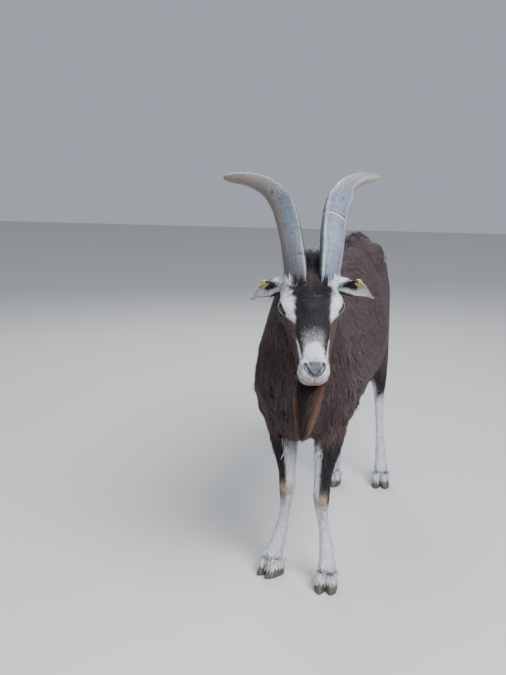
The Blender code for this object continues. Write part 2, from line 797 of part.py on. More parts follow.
def body_cuts():
    """Thin slabs where the parts of the body meet."""
    head_side = head_direction(1, 0, 0)
    cuts = [
        slab_between("nape", head_place(0, 0.128, 0.050), head_place(0, -0.023, -0.172), head_side, 0.24),
        slab_between("mouth", head_place(0, -0.200, -0.0500), head_place(0, -0.082, -0.0520),
                     head_side, 0.16),
        slab_between("jaw_angle", head_place(0, -0.0825, -0.0515), head_place(0, -0.030, -0.125),
                     head_side, 0.16),
        slab_between("neck_root", Vector((0, 0.030, 0.860)), Vector((0, -0.150, 0.445)), SIDEWAYS, 0.40),
        slab_between("girth", Vector((0, 0.165, 0.900)), Vector((0, 0.165, 0.300)), SIDEWAYS, 0.50),
        slab_between("loin", Vector((0, 0.500, 0.900)), Vector((0, 0.470, 0.300)), SIDEWAYS, 0.50),
    ]
    for side in (-1, 1):
        x = CENTRE_X + side * 0.012
        elbow = Vector((x, 0.030, 0.338))
        outward = Vector((side * 0.140, 0, 0.090))
        cuts.append(slab_between("elbow", elbow, elbow + outward, Vector((0, 1, 0)), 0.20))
        groin = Vector((CENTRE_X - side * 0.002, 0.680, 0.452))
        cuts.append(slab_between("groin", groin, groin + outward, Vector((0, 1, 0.33)), 0.46))
    for x, y, z, wide in (
        (0.056, -0.010, 0.196, 0.080), (-0.037, 0.020, 0.204, 0.080),
        (0.065, -0.005, 0.119, 0.080), (-0.052, 0.030, 0.123, 0.080),
        (CENTRE_X + 0.055, 0.765, 0.262, 0.100), (CENTRE_X - 0.055, 0.748, 0.262, 0.100),
        (CENTRE_X + 0.065, 0.751, 0.122, 0.090), (CENTRE_X - 0.065, 0.727, 0.122, 0.090),
    ):
        start = Vector((x, y - wide / 2, z))
        cuts.append(slab_between("joint", start, start + Vector((0, wide, 0)), SIDEWAYS, 0.070))
    return cuts


def part_places():
    """A place inside each part of the flesh, by which its piece is known after the cuts."""
    places = {
        "head": (head_place(0, 0.0, -0.020), "brown_coat"),
        "jaw": (head_place(0, -0.110, -0.062), "white_coat"),
        "neck": (Vector((0.035, -0.110, 0.690)), "brown_coat"),
        "chest": (Vector((CENTRE_X, 0.040, 0.560)), "brown_coat"),
        "barrel": (Vector((CENTRE_X, 0.320, 0.560)), "brown_coat"),
        "rump": (Vector((CENTRE_X, 0.650, 0.640)), "brown_coat"),
        "fore_left_forearm": (Vector((0.061, 0.002, 0.300)), "dark_coat"),
        "fore_left_cannon": (Vector((0.0595, -0.005, 0.155)), "white_coat"),
        "fore_left_pastern": (Vector((0.0705, -0.015, 0.085)), "white_coat"),
        "fore_right_forearm": (Vector((-0.041, 0.028, 0.300)), "dark_coat"),
        "fore_right_cannon": (Vector((-0.044, 0.026, 0.158)), "white_coat"),
        "fore_right_pastern": (Vector((-0.060, 0.026, 0.085)), "white_coat"),
    }
    for side, name, step in ((1, "left", 0.0), (-1, "right", -0.015)):
        x = CENTRE_X
        places[f"hind_{name}_thigh"] = (Vector((x + side * 0.064, 0.690 + step, 0.400)), "dark_coat")
        places[f"hind_{name}_cannon"] = (Vector((x + side * 0.059, 0.760 + step, 0.195)), "white_coat")
        places[f"hind_{name}_pastern"] = (Vector((x + side * 0.069, 0.743 + step, 0.085)), "white_coat")
    return places


def nearest_piece(pieces, place):
    def distance(piece):
        tree = piece_tree(piece)
        return tree.find_nearest(place)[3]
    return min(pieces, key=distance)


def piece_tree(piece):
    form = bmesh.new()
    form.from_mesh(piece.data)
    tree = BVHTree.FromBMesh(form)
    form.free()
    return tree


def part_flesh(whole):
    """Cuts the flesh and gives each piece its name and material."""
    boolean(whole, body_cuts(), "DIFFERENCE")
    boolean(whole, [below_coronet(foot, GAP / 2) for foot in FEET], "DIFFERENCE")
    pieces = [only_faces(whole, "piece", group) for group in shells(whole) if len(group) > 24]
    bpy.data.objects.remove(whole)
    named = {}
    for name, (place, colour) in part_places().items():
        piece = nearest_piece(pieces, place)
        pieces.remove(piece)
        named[name] = (piece, colour)
    for piece in pieces:
        bpy.data.objects.remove(piece)
    return named


# Long hair, as flat locks that taper, bend and lie over each other

LOCK_THICK = 0.0030
LOCK_SINK = 0.006
LOCK_FLOAT = 0.0035
LOCK_HANG = 0.002
LOCK_STEPS = 3
LOCK_CORNERS = ((1, 0), (0, 1), (-1, 0), (0, -1))
# Shares of a lock's length, and its width there as a share of its full width.
LOCK_RINGS = ((0.0, 0.75), (0.34, 1.0), (0.70, 0.78))

chance = random.Random(11)


def vary(value, share=0.18):
    return value * chance.uniform(1.0 - share, 1.0 + share)


def lock(points, outward, wide, thick):
    """A flat lock along a few points, widest at a third of its length, pointed at its end."""
    form = bmesh.new()
    rows = []
    for (share, width), along in zip(LOCK_RINGS, tangents(points)):
        middle = curve_point(points, share)
        out = outward[min(len(outward) - 1, round(share * (len(points) - 1)))]
        across = along.cross(out).normalized()
        over = across.cross(along).normalized()
        row = []
        for x, z in LOCK_CORNERS:
            row.append(form.verts.new(middle + across * (x * wide * width) + over * (z * thick * width)))
        rows.append(row)
    sides = len(LOCK_CORNERS)
    for row, after in zip(rows, rows[1:]):
        for i in range(sides):
            j = (i + 1) % sides
            form.faces.new((row[i], row[j], after[j], after[i]))
    form.faces.new(rows[0])
    tip = form.verts.new(points[-1])
    for i in range(sides):
        form.faces.new((rows[-1][i], rows[-1][(i + 1) % sides], tip))
    return from_bmesh("lock", form)


# A row of locks. They root where rays from the line start-end, sent along toward, meet the
# skin, and lie along lie, lifting off the skin by lift at their ends.
Fringe = namedtuple("Fringe", "node start end count toward lie length wide lift", defaults=(0.009, 0.006))


def draped(tree, root, normal, fringe):
    """Points of a lock from inside the skin, along the lie, kept off the skin on its way."""
    lie = Vector(fringe.lie).normalized()
    lie += Vector((chance.uniform(-0.16, 0.16), chance.uniform(-0.10, 0.10), chance.uniform(-0.10, 0.10)))
    length = vary(fringe.length)
    points = [root - normal * LOCK_SINK]
    outward = [normal]
    spot = root
    for i in range(1, LOCK_STEPS + 1):
        share = i / LOCK_STEPS
        heading = (lie - normal * lie.dot(normal) * (1.0 - share)).normalized()
        spot = spot + heading * (length / LOCK_STEPS)
        near, normal, _, distance = tree.find_nearest(spot)
        height = LOCK_FLOAT + fringe.lift * share
        spot = near + normal * max(height, min(distance, height + LOCK_HANG))
        points.append(spot)
        outward.append(normal)
    return points, outward


def fringe_locks(tree, fringe):
    locks = []
    start, end = Vector(fringe.start), Vector(fringe.end)
    toward = Vector(fringe.toward).normalized()
    for i in range(fringe.count):
        share = (i + 0.5 + chance.uniform(-0.22, 0.22)) / fringe.count
        origin = start.lerp(end, share)
        root, normal, _, _ = tree.ray_cast(origin, toward)
        if root is None:
            continue
        points, outward = draped(tree, root, normal, fringe)
        locks.append(lock(points, outward, vary(fringe.wide), LOCK_THICK))
    return locks


FRONT = -0.40
ABOVE = 0.90
BEHIND = 1.0
BACKWARD = (0, 1, 0)
DOWNWARD = (0, 0, -1)


def fringes():
    """Where the coat is long: throat, chest, elbows, back, belly, thighs and above the claws."""
    x = CENTRE_X
    rows = [
        Fringe("neck", (-0.030, FRONT, 0.640), (0.110, FRONT, 0.650), 4,
               BACKWARD, (-0.10, -0.30, -1.0), 0.060),
        Fringe("neck", (-0.045, FRONT, 0.590), (0.100, FRONT, 0.600), 5,
               BACKWARD, (-0.05, -0.20, -1.0), 0.066),
        Fringe("neck", (-0.050, FRONT, 0.545), (0.085, FRONT, 0.550), 5,
               BACKWARD, (-0.02, -0.12, -1.0), 0.070),
        Fringe("chest", (-0.075, FRONT, 0.495), (0.085, FRONT, 0.500), 6,
               BACKWARD, (0, -0.06, -1.0), 0.070),
        Fringe("chest", (-0.080, FRONT, 0.450), (0.090, FRONT, 0.455), 6,
               BACKWARD, (0, -0.02, -1.0), 0.072),
        Fringe("chest", (-0.060, FRONT, 0.410), (0.070, FRONT, 0.410), 4,
               BACKWARD, (0, 0.10, -1.0), 0.060),
        Fringe("neck", (0.036, -0.150, ABOVE), (0.014, -0.030, ABOVE), 4,
               DOWNWARD, (0, 1.0, 0.10), 0.050),
        Fringe("chest", (x, 0.030, ABOVE), (x, 0.150, ABOVE), 5, DOWNWARD, (0, 1.0, -0.05), 0.052),
        Fringe("barrel", (x, 0.180, ABOVE), (x, 0.450, ABOVE), 8, DOWNWARD, (0, 1.0, -0.02), 0.050),
        Fringe("rump", (x, 0.500, ABOVE), (x, 0.690, ABOVE), 5, DOWNWARD, (0, 1.0, -0.10), 0.048),
        Fringe("rump", (x - 0.060, BEHIND, 0.560), (x + 0.060, BEHIND, 0.560), 4,
               (0, -1, 0), (0, 0.15, -1.0), 0.065),
        Fringe("rump", (x - 0.070, BEHIND, 0.500), (x + 0.070, BEHIND, 0.500), 4,
               (0, -1, 0), (0, 0.10, -1.0), 0.060),
    ]
    for side in (-1, 1):
        inward = (-side, 0, 0)
        out = side * 0.40
        rows += [
            Fringe("chest", (out, -0.060, 0.520), (out, 0.090, 0.520), 3, inward, (0, 0.30, -1.0), 0.062),
            Fringe("chest", (out, -0.050, 0.460), (out, 0.100, 0.450), 4, inward, (0, 0.35, -1.0), 0.062),
            Fringe("barrel", (out, 0.190, 0.430), (out, 0.440, 0.450), 5, inward, (0, 0.50, -1.0), 0.055),
            Fringe("rump", (out, 0.640, 0.470), (out, 0.740, 0.500), 2, inward, (0, 0.40, -1.0), 0.055),
        ]
    for name, x_place, y_place, high in (
        ("fore_left", 0.057, 0.30, 0.375), ("fore_right", -0.045, 0.33, 0.375),
    ):
        start = (x_place - 0.012, y_place, high)
        end = (x_place + 0.014, y_place, high)
        rows.append(Fringe(f"{name}_forearm", start, end, 2, (0, -1, 0), (0, 0.15, -1.0), 0.050))
    rows.append(Fringe("head", head_place(-0.024, 0.010, 0.20), head_place(0.024, 0.010, 0.20), 4,
                       head_direction(0, 0, -1), head_direction(0, -1, 0.05), 0.034, 0.0075, 0.003))
    for foot in FEET:
        for reach, count in ((-0.30, 2), (0.30, 1)):
            middle = Vector((foot.x, foot.y + 0.012, 0.066)) + foot_direction(foot, 0, reach)
            across = foot_direction(foot, 0.018, 0)
            toward = foot_direction(foot, 0, -reach)
            lie = foot_direction(foot, 0, reach * 1.6) + Vector((0, 0, -1))
            rows.append(Fringe(f"{foot.name}_pastern", middle - across, middle + across, count,
                               toward, lie, 0.030, 0.0065, 0.004))
    return rows


def foot_direction(foot, x, y):
    return Matrix.Rotation(foot.turn, 3, "Z") @ Vector((x, y, 0))


# The tail's and the beard's locks

TAIL_LOCK_WIDE = 0.0090
TAIL_PATH = [
    Ring(CENTRE_X, 0.790, 0.700, 0.018, 0.018, 0.018),
    Ring(CENTRE_X, 0.826, 0.708, 0.019, 0.016, 0.017),
    Ring(CENTRE_X, 0.858, 0.708, 0.018, 0.013, 0.015),
    Ring(CENTRE_X, 0.886, 0.700, 0.012, 0.008, 0.009),
]


def tail_locks():
    """Locks that fan out to both sides of the tail and over its end."""
    points = [Vector((ring.x, ring.y, ring.z)) for ring in TAIL_PATH]
    locks = []
    for share in (0.45, 0.70, 0.94):
        for side in (-1, 0, 1):
            lift = 0.006 if side == 0 else 0.0
            root = curve_point(points, share) + Vector((side * 0.007, 0, lift))
            reach = Vector((side * 0.020, vary(0.050), -vary(0.020) - 0.026 * share))
            outward = Vector((side * 0.8, 0.1, 1.0)).normalized()
            path = [
                root,
                root + reach * 0.35 + outward * 0.008,
                root + reach * 0.70 + outward * 0.006,
                root + reach,
            ]
            locks.append(lock(path, [outward], vary(TAIL_LOCK_WIDE), LOCK_THICK))
    return locks


BEARD_ROOT = Vector((0.0955, -0.297, 0.583))
BEARD_TIP = Vector((0.082, -0.318, 0.440))
BEARD_LOCKS = 12
BEARD_LOCK_WIDE = 0.0075


def beard_core():
    """The beard's dense middle, which reaches less than half way to its tip."""
    path = [
        Ring(0.0975, -0.297, 0.589, 0.011, 0.006, 0.006),
        Ring(0.0965, -0.301, 0.570, 0.019, 0.011, 0.011),
        Ring(0.0935, -0.305, 0.545, 0.016, 0.009, 0.009),
        Ring(0.0915, -0.308, 0.525, 0.006, 0.004, 0.004),
    ]
    return limb("beard_core", path, FORWARD, sides=8)


def beard_locks():
    """Locks that root round the chin, bulge out a little and gather towards the tip."""
    locks = []
    for i in range(BEARD_LOCKS):
        turn = math.tau * (i + chance.uniform(-0.25, 0.25)) / BEARD_LOCKS
        inner = 0.55 if i % 3 == 0 else 1.0
        around = Vector((math.cos(turn) * 0.028, math.sin(turn) * 0.013, 0)) * inner
        shorter = chance.uniform(0.0, 0.034) if inner == 1.0 else 0.0
        root = BEARD_ROOT + around * 0.62
        end = BEARD_TIP + around * chance.uniform(0.30, 0.75) + Vector((0, 0, shorter))
        outward = around.normalized()
        points = [root, root.lerp(end, 0.33) + around * 0.42, root.lerp(end, 0.68) + around * 0.22, end]
        locks.append(lock(points, [outward], vary(BEARD_LOCK_WIDE), LOCK_THICK))
    return locks


# The whole goat

def add_part(body, name, material):
    body.name = name
    body.data.name = name
    keep_largest(tidy_mesh(body))
    body.data.materials.clear()
    body.data.materials.append(material)
    tools.objects.unlink(body)
    parts.objects.link(body)


def bend_clear(names):
    """Cuts each part that carries locks back from every other part that they cross."""
    for name in names:
        body = parts.objects[name]
        for other in list(parts.objects):
            if other is body or not piece_tree(body).overlap(piece_tree(other)):
                continue
            tools.objects.link(body)
            material = body.data.materials[0]
            clear_of(body, other)
            keep_largest(tidy_mesh(body))
            body.data.materials.clear()
            body.data.materials.append(material)
            tools.objects.unlink(body)


def centre_all():
    """Moves every part so that the goat's box stands centred over the origin, on the floor."""
    corners = [vert.co for body in parts.objects for vert in body.data.vertices]
    middle = Vector((0, 0, 0))
    for axis in (0, 1):
        values = [corner[axis] for corner in corners]
        middle[axis] = (min(values) + max(values)) / 2
    for body in parts.objects:
        body.data.transform(Matrix.Translation(-middle))


def build():
    clear_scene()
    materials = {name: make_material(name, *look) for name, look in COLOURS.items()}
    whole = flesh()
    tree = piece_tree(whole)
    named = part_flesh(whole)
    coat = {"jaw": [beard_core(), *beard_locks()]}
    for fringe in fringes():
        coat.setdefault(fringe.node, []).extend(fringe_locks(tree, fringe))
    for name, locks in coat.items():
        boolean(named[name][0], locks, "UNION", "MANIFOLD")
        keep_largest(named[name][0])
    head = named["head"][0]
    neck = named["neck"][0]
    boolean(head, [lid_shell(-1), lid_shell(1)], "UNION", "MANIFOLD")
    boolean(head, [eyeball(side, EYE_RADIUS + GAP * 1.2) for side in (-1, 1)], "DIFFERENCE", "MANIFOLD")
    boolean(head, [slit(-1), slit(1), nostril(-1), nostril(1)], "DIFFERENCE", "MANIFOLD")
    keep_largest(head)
    for name, (body, colour) in named.items():
        add_part(body, name, materials[colour])
    for side, word in ((1, "left"), (-1, "right")):
        tag = ear_tag(side)
        grown_horn = clear_of(clear_of(horn(side), head), neck)
        leaf = ear(side)
        for other in (head, tag, grown_horn):
            clear_of(leaf, other)
        add_part(leaf, "ear_" + word, materials["white_coat"])
        add_part(tag, "ear_tag_" + word, materials["ear_tag"])
        add_part(grown_horn, "horn_" + word, materials["horn"])
        add_part(eyeball(side), "eye_" + word, materials["eye"])
    for foot in FEET:
        for side in (-1, 1):
            word = "outer" if side * foot.x > 0 else "inner"
            add_part(claw(foot, side), f"{foot.name}_claw_{word}", materials["claw"])
    tail = boolean(limb("tail", TAIL_PATH, UP, sides=12), tail_locks(), "UNION", "MANIFOLD")
    add_part(clear_of(keep_largest(tail), named["rump"][0]), "tail", materials["dark_coat"])
    bend_clear([*coat, "tail"])
    centre_all()


build()
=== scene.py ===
"""The goat's looks: one skin with its markings, coat, horns, eyes, claws, ear tags, light and camera."""

import math

import bmesh
import bpy
import numpy as np
from mathutils import Matrix, Vector
from mathutils.bvhtree import BVHTree


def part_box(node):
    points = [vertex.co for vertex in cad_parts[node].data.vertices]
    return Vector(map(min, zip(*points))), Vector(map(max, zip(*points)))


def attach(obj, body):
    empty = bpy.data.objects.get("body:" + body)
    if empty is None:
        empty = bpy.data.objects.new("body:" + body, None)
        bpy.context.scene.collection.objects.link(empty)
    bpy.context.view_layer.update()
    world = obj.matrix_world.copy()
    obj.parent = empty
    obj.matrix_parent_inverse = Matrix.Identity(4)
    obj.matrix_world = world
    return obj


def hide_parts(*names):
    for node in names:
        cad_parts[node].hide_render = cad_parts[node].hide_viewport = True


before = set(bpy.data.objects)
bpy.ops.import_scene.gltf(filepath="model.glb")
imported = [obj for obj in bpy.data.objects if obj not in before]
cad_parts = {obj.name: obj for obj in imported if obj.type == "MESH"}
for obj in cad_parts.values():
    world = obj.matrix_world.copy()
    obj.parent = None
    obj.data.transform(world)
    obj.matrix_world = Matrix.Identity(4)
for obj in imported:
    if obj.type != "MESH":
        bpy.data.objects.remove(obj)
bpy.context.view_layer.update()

EYE_RADIUS = 0.0148
HEAD_TURN = math.radians(19)
NOSE_SLOPE = math.radians(52)
CENTRE_X = 0.006
SIDES = ((1, "left"), (-1, "right"))

# The stance is described from a point between the fore feet, under the withers. The eyes' middle
# has this place there, and it tells how far that point lies from the model's own zero.
EYES_IN_STANCE = Vector((0.0882, -0.2758, 0.7216))

SKIN_VOXEL = 0.0060
CLAW_VOXEL = 0.0016
TAG_VOXEL = 0.0005

rng = np.random.default_rng(5)


# Places

def middle_of(node):
    low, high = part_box(node)
    return (Vector(low) + Vector(high)) / 2


eyes_middle = (middle_of("eye_left") + middle_of("eye_right")) / 2
HEAD = (Matrix.Translation(eyes_middle) @ Matrix.Rotation(HEAD_TURN, 4, "Z")
        @ Matrix.Rotation(NOSE_SLOPE, 4, "X") @ Matrix.Translation((0, -0.002, 0)))
HEAD_AXES = np.array(HEAD.to_3x3())
HEAD_ZERO = np.array(HEAD.translation)
SHIFT = np.array(EYES_IN_STANCE - eyes_middle)


def in_head(points):
    """Row-frame points in the head's own frame: nose to -Y, crown to +Z, its left side +X."""
    return (points - HEAD_ZERO) @ HEAD_AXES


def from_head(points):
    return np.asarray(points) @ HEAD_AXES.T + HEAD_ZERO


def in_stance(points):
    return points + SHIFT


def fade(low, high, values):
    """0 below low, 1 above high, with a soft step between. It falls instead where high < low."""
    t = np.clip((values - low) / (high - low), 0.0, 1.0)
    return t * t * (3.0 - 2.0 * t)


def peak(values, centre, width):
    return np.exp(-((values - centre) / width) ** 2)


def unit(vectors):
    return vectors / np.maximum(np.linalg.norm(vectors, axis=-1, keepdims=True), 1e-12)


def ripple(points, scale, seed=0.0):
    """A smooth wandering value from about -1 to 1 over space."""
    x, y, z = (points * scale).T
    first = np.sin(x * 1.7 + 1.3 * np.sin(y * 1.1 + seed) + seed)
    second = np.sin(y * 2.1 + 1.1 * np.sin(z * 1.4 + seed))
    third = np.sin(z * 1.9 + 1.2 * np.sin(x * 1.3 - seed) + 2.0 * seed)
    return (first + second + third) / 3.0


# Shader parts

def link(tree, start, end):
    tree.links.new(start, end)


def group_tree(name, inputs, outputs):
    """An empty node group with its named sockets."""
    tree = bpy.data.node_groups.new(name, "ShaderNodeTree")
    for label, kind, value in inputs:
        socket = tree.interface.new_socket(label, in_out="INPUT", socket_type=kind)
        socket.default_value = value
    for label, kind in outputs:
        tree.interface.new_socket(label, in_out="OUTPUT", socket_type=kind)
    return tree, tree.nodes.new("NodeGroupInput"), tree.nodes.new("NodeGroupOutput")


def attribute(tree, name, part="Color"):
    node = tree.nodes.new("ShaderNodeAttribute")
    node.attribute_name = name
    return node.outputs[part]


def separate(tree, colour):
    node = tree.nodes.new("ShaderNodeSeparateColor")
    link(tree, colour, node.inputs["Color"])
    return node.outputs


def noise(tree, scale, detail=3.0, vector=None, stretch=None, roughness=0.55):
    node = tree.nodes.new("ShaderNodeTexNoise")
    node.inputs["Scale"].default_value = scale
    node.inputs["Detail"].default_value = detail
    node.inputs["Roughness"].default_value = roughness
    if vector is None:
        vector = tree.nodes.new("ShaderNodeTexCoord").outputs["Object"]
    if stretch is not None:
        mapping = tree.nodes.new("ShaderNodeMapping")
        mapping.inputs["Scale"].default_value = stretch
        link(tree, vector, mapping.inputs["Vector"])
        vector = mapping.outputs["Vector"]
    link(tree, vector, node.inputs["Vector"])
    return node.outputs["Fac"]


def arithmetic(tree, operation, first, second=None, third=None):
    node = tree.nodes.new("ShaderNodeMath")
    node.operation = operation
    for socket, value in zip(node.inputs, (first, second, third)):
        if value is None:
            continue
        if isinstance(value, (int, float)):
            socket.default_value = value
        else:
            link(tree, value, socket)
    return node.outputs[0]


def times(tree, first, second):
    return arithmetic(tree, "MULTIPLY", first, second)


def remap(tree, value, low, high, to_low=0.0, to_high=1.0):
    node = tree.nodes.new("ShaderNodeMapRange")
    for label, number in (("From Min", low), ("From Max", high), ("To Min", to_low), ("To Max", to_high)):
        node.inputs[label].default_value = number
    link(tree, value, node.inputs["Value"])
    return node.outputs["Result"]


def mix(tree, share, first, second, mode="MIX"):
    """Mixes two colours by a share. Colours may be sockets or triples."""
    node = tree.nodes.new("ShaderNodeMix")
    node.data_type = "RGBA"
    node.blend_type = mode
    for socket, value in ((node.inputs[0], share), (node.inputs[6], first), (node.inputs[7], second)):
        if isinstance(value, (int, float)):
            socket.default_value = value
        elif isinstance(value, tuple):
            socket.default_value = (*value, 1.0)
        else:
            link(tree, value, socket)
    return node.outputs[2]


def bump(tree, height, strength, distance):
    node = tree.nodes.new("ShaderNodeBump")
    node.inputs["Strength"].default_value = strength
    node.inputs["Distance"].default_value = distance
    link(tree, height, node.inputs["Height"])
    return node.outputs["Normal"]


def new_material(name, **settings):
    """A material with its Principled shader, whose plain numbers are set on its own sockets."""
    material = bpy.data.materials.new(name)
    material.use_nodes = True
    shader = material.node_tree.nodes["Principled BSDF"]
    for label, value in settings.items():
        shader.inputs[label.replace("_", " ").title().replace("Ior", "IOR")].default_value = value
    return material, material.node_tree, shader


def place_group(tree, group, **values):
    node = tree.nodes.new("ShaderNodeGroup")
    node.node_tree = group
    for label, value in values.items():
        socket = node.inputs[label]
        if isinstance(value, (int, float)):
            socket.default_value = value
        else:
            link(tree, value, socket)
    return node


# Colours of the coat and skin, as linear values

BROWN_DEEP = (0.024, 0.014, 0.015)
BROWN_LIGHT = (0.152, 0.096, 0.092)
BLACK_BROWN = (0.006, 0.006, 0.010)
RUST = (0.280, 0.110, 0.040)
WHITE_HAIR = (0.86, 0.88, 0.93)
WHITE_SHADE = (0.40, 0.39, 0.42)
NOSE_GREY = (0.105, 0.105, 0.135)
LIP_PINK = (0.36, 0.25, 0.25)
KNEE_BEIGE = (0.37, 0.28, 0.21)
# FROST is pale frosted hair over the withers, and it also stands as painted sheen on the nose bridge.
FROST = (0.30, 0.27, 0.29)


def coat_colour_group():
    """The goat's markings, with painted shade towards each hair's root. Share runs from a hair's root to its
    tip, and Chance differs by tuft.
    """
    tree, inputs, outputs = group_tree(
        "coat_markings_and_shade",
        (("Share", "NodeSocketFloat", 0.5),
         ("Chance", "NodeSocketFloat", 0.5),
         ("Fibre", "NodeSocketFloat", 1.0)),
        (("Color", "NodeSocketColor"), ("Roughness", "NodeSocketFloat")),
    )
    share, chance = inputs.outputs["Share"], inputs.outputs["Chance"]
    white, dark, rust = separate(tree, attribute(tree, "marks"))[:3]
    bare, callus, frost = separate(tree, attribute(tree, "finish"))[:3]
    fine = noise(tree, 260.0, 2.0)
    broad = noise(tree, 9.0, 2.0)
    tone = arithmetic(tree, "MULTIPLY_ADD", chance, 0.75, times(tree, broad, 0.25))
    brown = mix(tree, tone, BROWN_DEEP, BROWN_LIGHT)
    colour = mix(tree, rust, brown, mix(tree, chance, RUST, BROWN_LIGHT))
    black = mix(tree, times(tree, tone, 0.09), BLACK_BROWN, BROWN_LIGHT)
    colour = mix(tree, dark, colour, black)
    # Pale streaks where the frost mask is high: frosted hair over the withers, and painted sheen on the nose
    # bridge.
    streak = arithmetic(tree, "GREATER_THAN", arithmetic(tree, "ADD", chance, frost), 1.0)
    colour = mix(tree, streak, colour, FROST)
    pale = mix(tree, remap(tree, chance, 0.3, 1.0, 0.0, 0.90), WHITE_HAIR, WHITE_SHADE)
    colour = mix(tree, white, colour, pale)
    # Painted shade: each hair is darker towards its root and lighter at its tip.
    lift = remap(tree, share, 0.0, 1.0, 0.46, 1.34)
    lift = times(tree, lift, remap(tree, fine, 0.3, 0.7, 0.90, 1.10))
    lift = times(tree, lift, inputs.outputs["Fibre"])
    shaded = mix(tree, 1.0, colour, grey(tree, lift), "MULTIPLY")
    naked = mix(tree, callus, NOSE_GREY, LIP_PINK)
    naked = mix(tree, remap(tree, fine, 0.45, 0.62, 0.0, 0.55), naked, (0.05, 0.05, 0.06))
    naked = mix(tree, times(tree, dark, 0.9), naked, (0.010, 0.009, 0.011))
    shaded = mix(tree, bare, shaded, naked)
    worn = times(tree, callus, arithmetic(tree, "SUBTRACT", 1.0, bare))
    shaded = mix(tree, worn, shaded, KNEE_BEIGE)
    link(tree, shaded, outputs.inputs["Color"])
    rough = remap(tree, fine, 0.2, 0.8, 0.52, 0.68)
    rough = arithmetic(tree, "SUBTRACT", rough, times(tree, bare, 0.16))
    link(tree, rough, outputs.inputs["Roughness"])
    return tree


def grey(tree, value):
    node = tree.nodes.new("ShaderNodeCombineColor")
    for socket in node.inputs:
        link(tree, value, socket)
    return node.outputs["Color"]


def fine_grain_group():
    """Fine pores and dust, for horn, claw, tag and bare skin: a height and a mask."""
    tree, inputs, outputs = group_tree(
        "fine_grain",
        (("Scale", "NodeSocketFloat", 900.0),),
        (("Height", "NodeSocketFloat"), ("Mask", "NodeSocketFloat")),
    )
    place = tree.nodes.new("ShaderNodeTexCoord").outputs["Object"]
    cells = tree.nodes.new("ShaderNodeTexVoronoi")
    link(tree, place, cells.inputs["Vector"])
    link(tree, inputs.outputs["Scale"], cells.inputs["Scale"])
    clouds = tree.nodes.new("ShaderNodeTexNoise")
    link(tree, place, clouds.inputs["Vector"])
    link(tree, times(tree, inputs.outputs["Scale"], 0.12), clouds.inputs["Scale"])
    link(tree, cells.outputs["Distance"], outputs.inputs["Height"])
    link(tree, clouds.outputs["Fac"], outputs.inputs["Mask"])
    return tree


coat_markings_and_shade = coat_colour_group()
fine_grain = fine_grain_group()


def coat_material():
    material, tree, shader = new_material("coat", sheen_weight=0.04, sheen_roughness=0.45,
                                          specular_ior_level=0.22)
    shader.inputs["Sheen Tint"].default_value = (0.80, 0.80, 1.0, 1.0)
    share, chance, across = separate(tree, attribute(tree, "strand"))[:3]
    phase = arithmetic(tree, "MULTIPLY_ADD", chance, 40.0, times(tree, across, 24.0))
    wave = arithmetic(tree, "SINE", arithmetic(tree, "MULTIPLY_ADD", share, 2.5, phase))
    fibre = remap(tree, wave, -1.0, 1.0, 0.62, 1.20)
    marks = place_group(tree, coat_markings_and_shade, Share=share, Chance=chance, Fibre=fibre)
    link(tree, marks.outputs["Color"], shader.inputs["Base Color"])
    link(tree, marks.outputs["Roughness"], shader.inputs["Roughness"])
    link(tree, bump(tree, wave, 0.35, 0.0003), shader.inputs["Normal"])
    return material


def skin_material():
    material, tree, shader = new_material("skin", sheen_weight=0.04, specular_ior_level=0.35)
    patches = noise(tree, 420.0, 3.0)
    # Share 0.25 darkens the skin like the lower part of a hair, as painted shade under the coat.
    marks = place_group(tree, coat_markings_and_shade, Share=0.25, Chance=patches)
    link(tree, marks.outputs["Color"], shader.inputs["Base Color"])
    link(tree, marks.outputs["Roughness"], shader.inputs["Roughness"])
    hairs = noise(tree, 700.0, 2.0)
    grain = place_group(tree, fine_grain, Scale=1100.0)
    height = arithmetic(tree, "ADD", hairs, times(tree, grain.outputs["Height"], 0.5))
    link(tree, bump(tree, height, 0.45, 0.0012), shader.inputs["Normal"])
    return material


# Meshes

def new_piece(name, mesh, material, replaced=()):
    """A shown piece that rides on the still body and stands for its nodes."""
    piece = bpy.data.objects.new(name, mesh)
    bpy.context.scene.collection.objects.link(piece)
    mesh.materials.clear()
    mesh.materials.append(material)
    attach(piece, "root")
    if replaced:
        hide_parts(*replaced)
    return piece


def evaluated_mesh(body):
    graph = bpy.context.evaluated_depsgraph_get()
    mesh = bpy.data.meshes.new_from_object(body.evaluated_get(graph))
    old = body.data
    bpy.data.objects.remove(body)
    bpy.data.meshes.remove(old)
    return mesh


def remeshed(form, voxel, smoothing):
    """One even, closed surface over the forms in a bmesh."""
    mesh = bpy.data.meshes.new("form")
    form.to_mesh(mesh)
    form.free()
    body = bpy.data.objects.new("form", mesh)
    bpy.context.scene.collection.objects.link(body)
    remesh = body.modifiers.new("even", "REMESH")
    remesh.mode = "VOXEL"
    remesh.voxel_size = voxel
    smooth = body.modifiers.new("soft", "SMOOTH")
    smooth.factor = 0.5
    smooth.iterations = smoothing
    return evaluated_mesh(body)


def points_of(mesh):
    points = np.empty(len(mesh.vertices) * 3)
    mesh.vertices.foreach_get("co", points)
    return points.reshape(-1, 3)


def normals_of(mesh):
    normals = np.empty(len(mesh.vertices) * 3)
    mesh.vertices.foreach_get("normal", normals)
    return normals.reshape(-1, 3)


def smooth_shaded(mesh):
    mesh.polygons.foreach_set("use_smooth", np.ones(len(mesh.polygons), bool))


def solid_mesh(name, places, faces):
    """A mesh from points in the head's frame, with all of its faces turned outwards."""
    mesh = bpy.data.meshes.new(name)
    mesh.from_pydata(from_head(places).tolist(), [], faces)
    form = bmesh.new()
    form.from_mesh(mesh)
    bmesh.ops.recalc_face_normals(form, faces=form.faces)
    form.to_mesh(mesh)
    form.free()
    return mesh


def set_points(mesh, points):
    mesh.vertices.foreach_set("co", points.ravel())
    mesh.update()


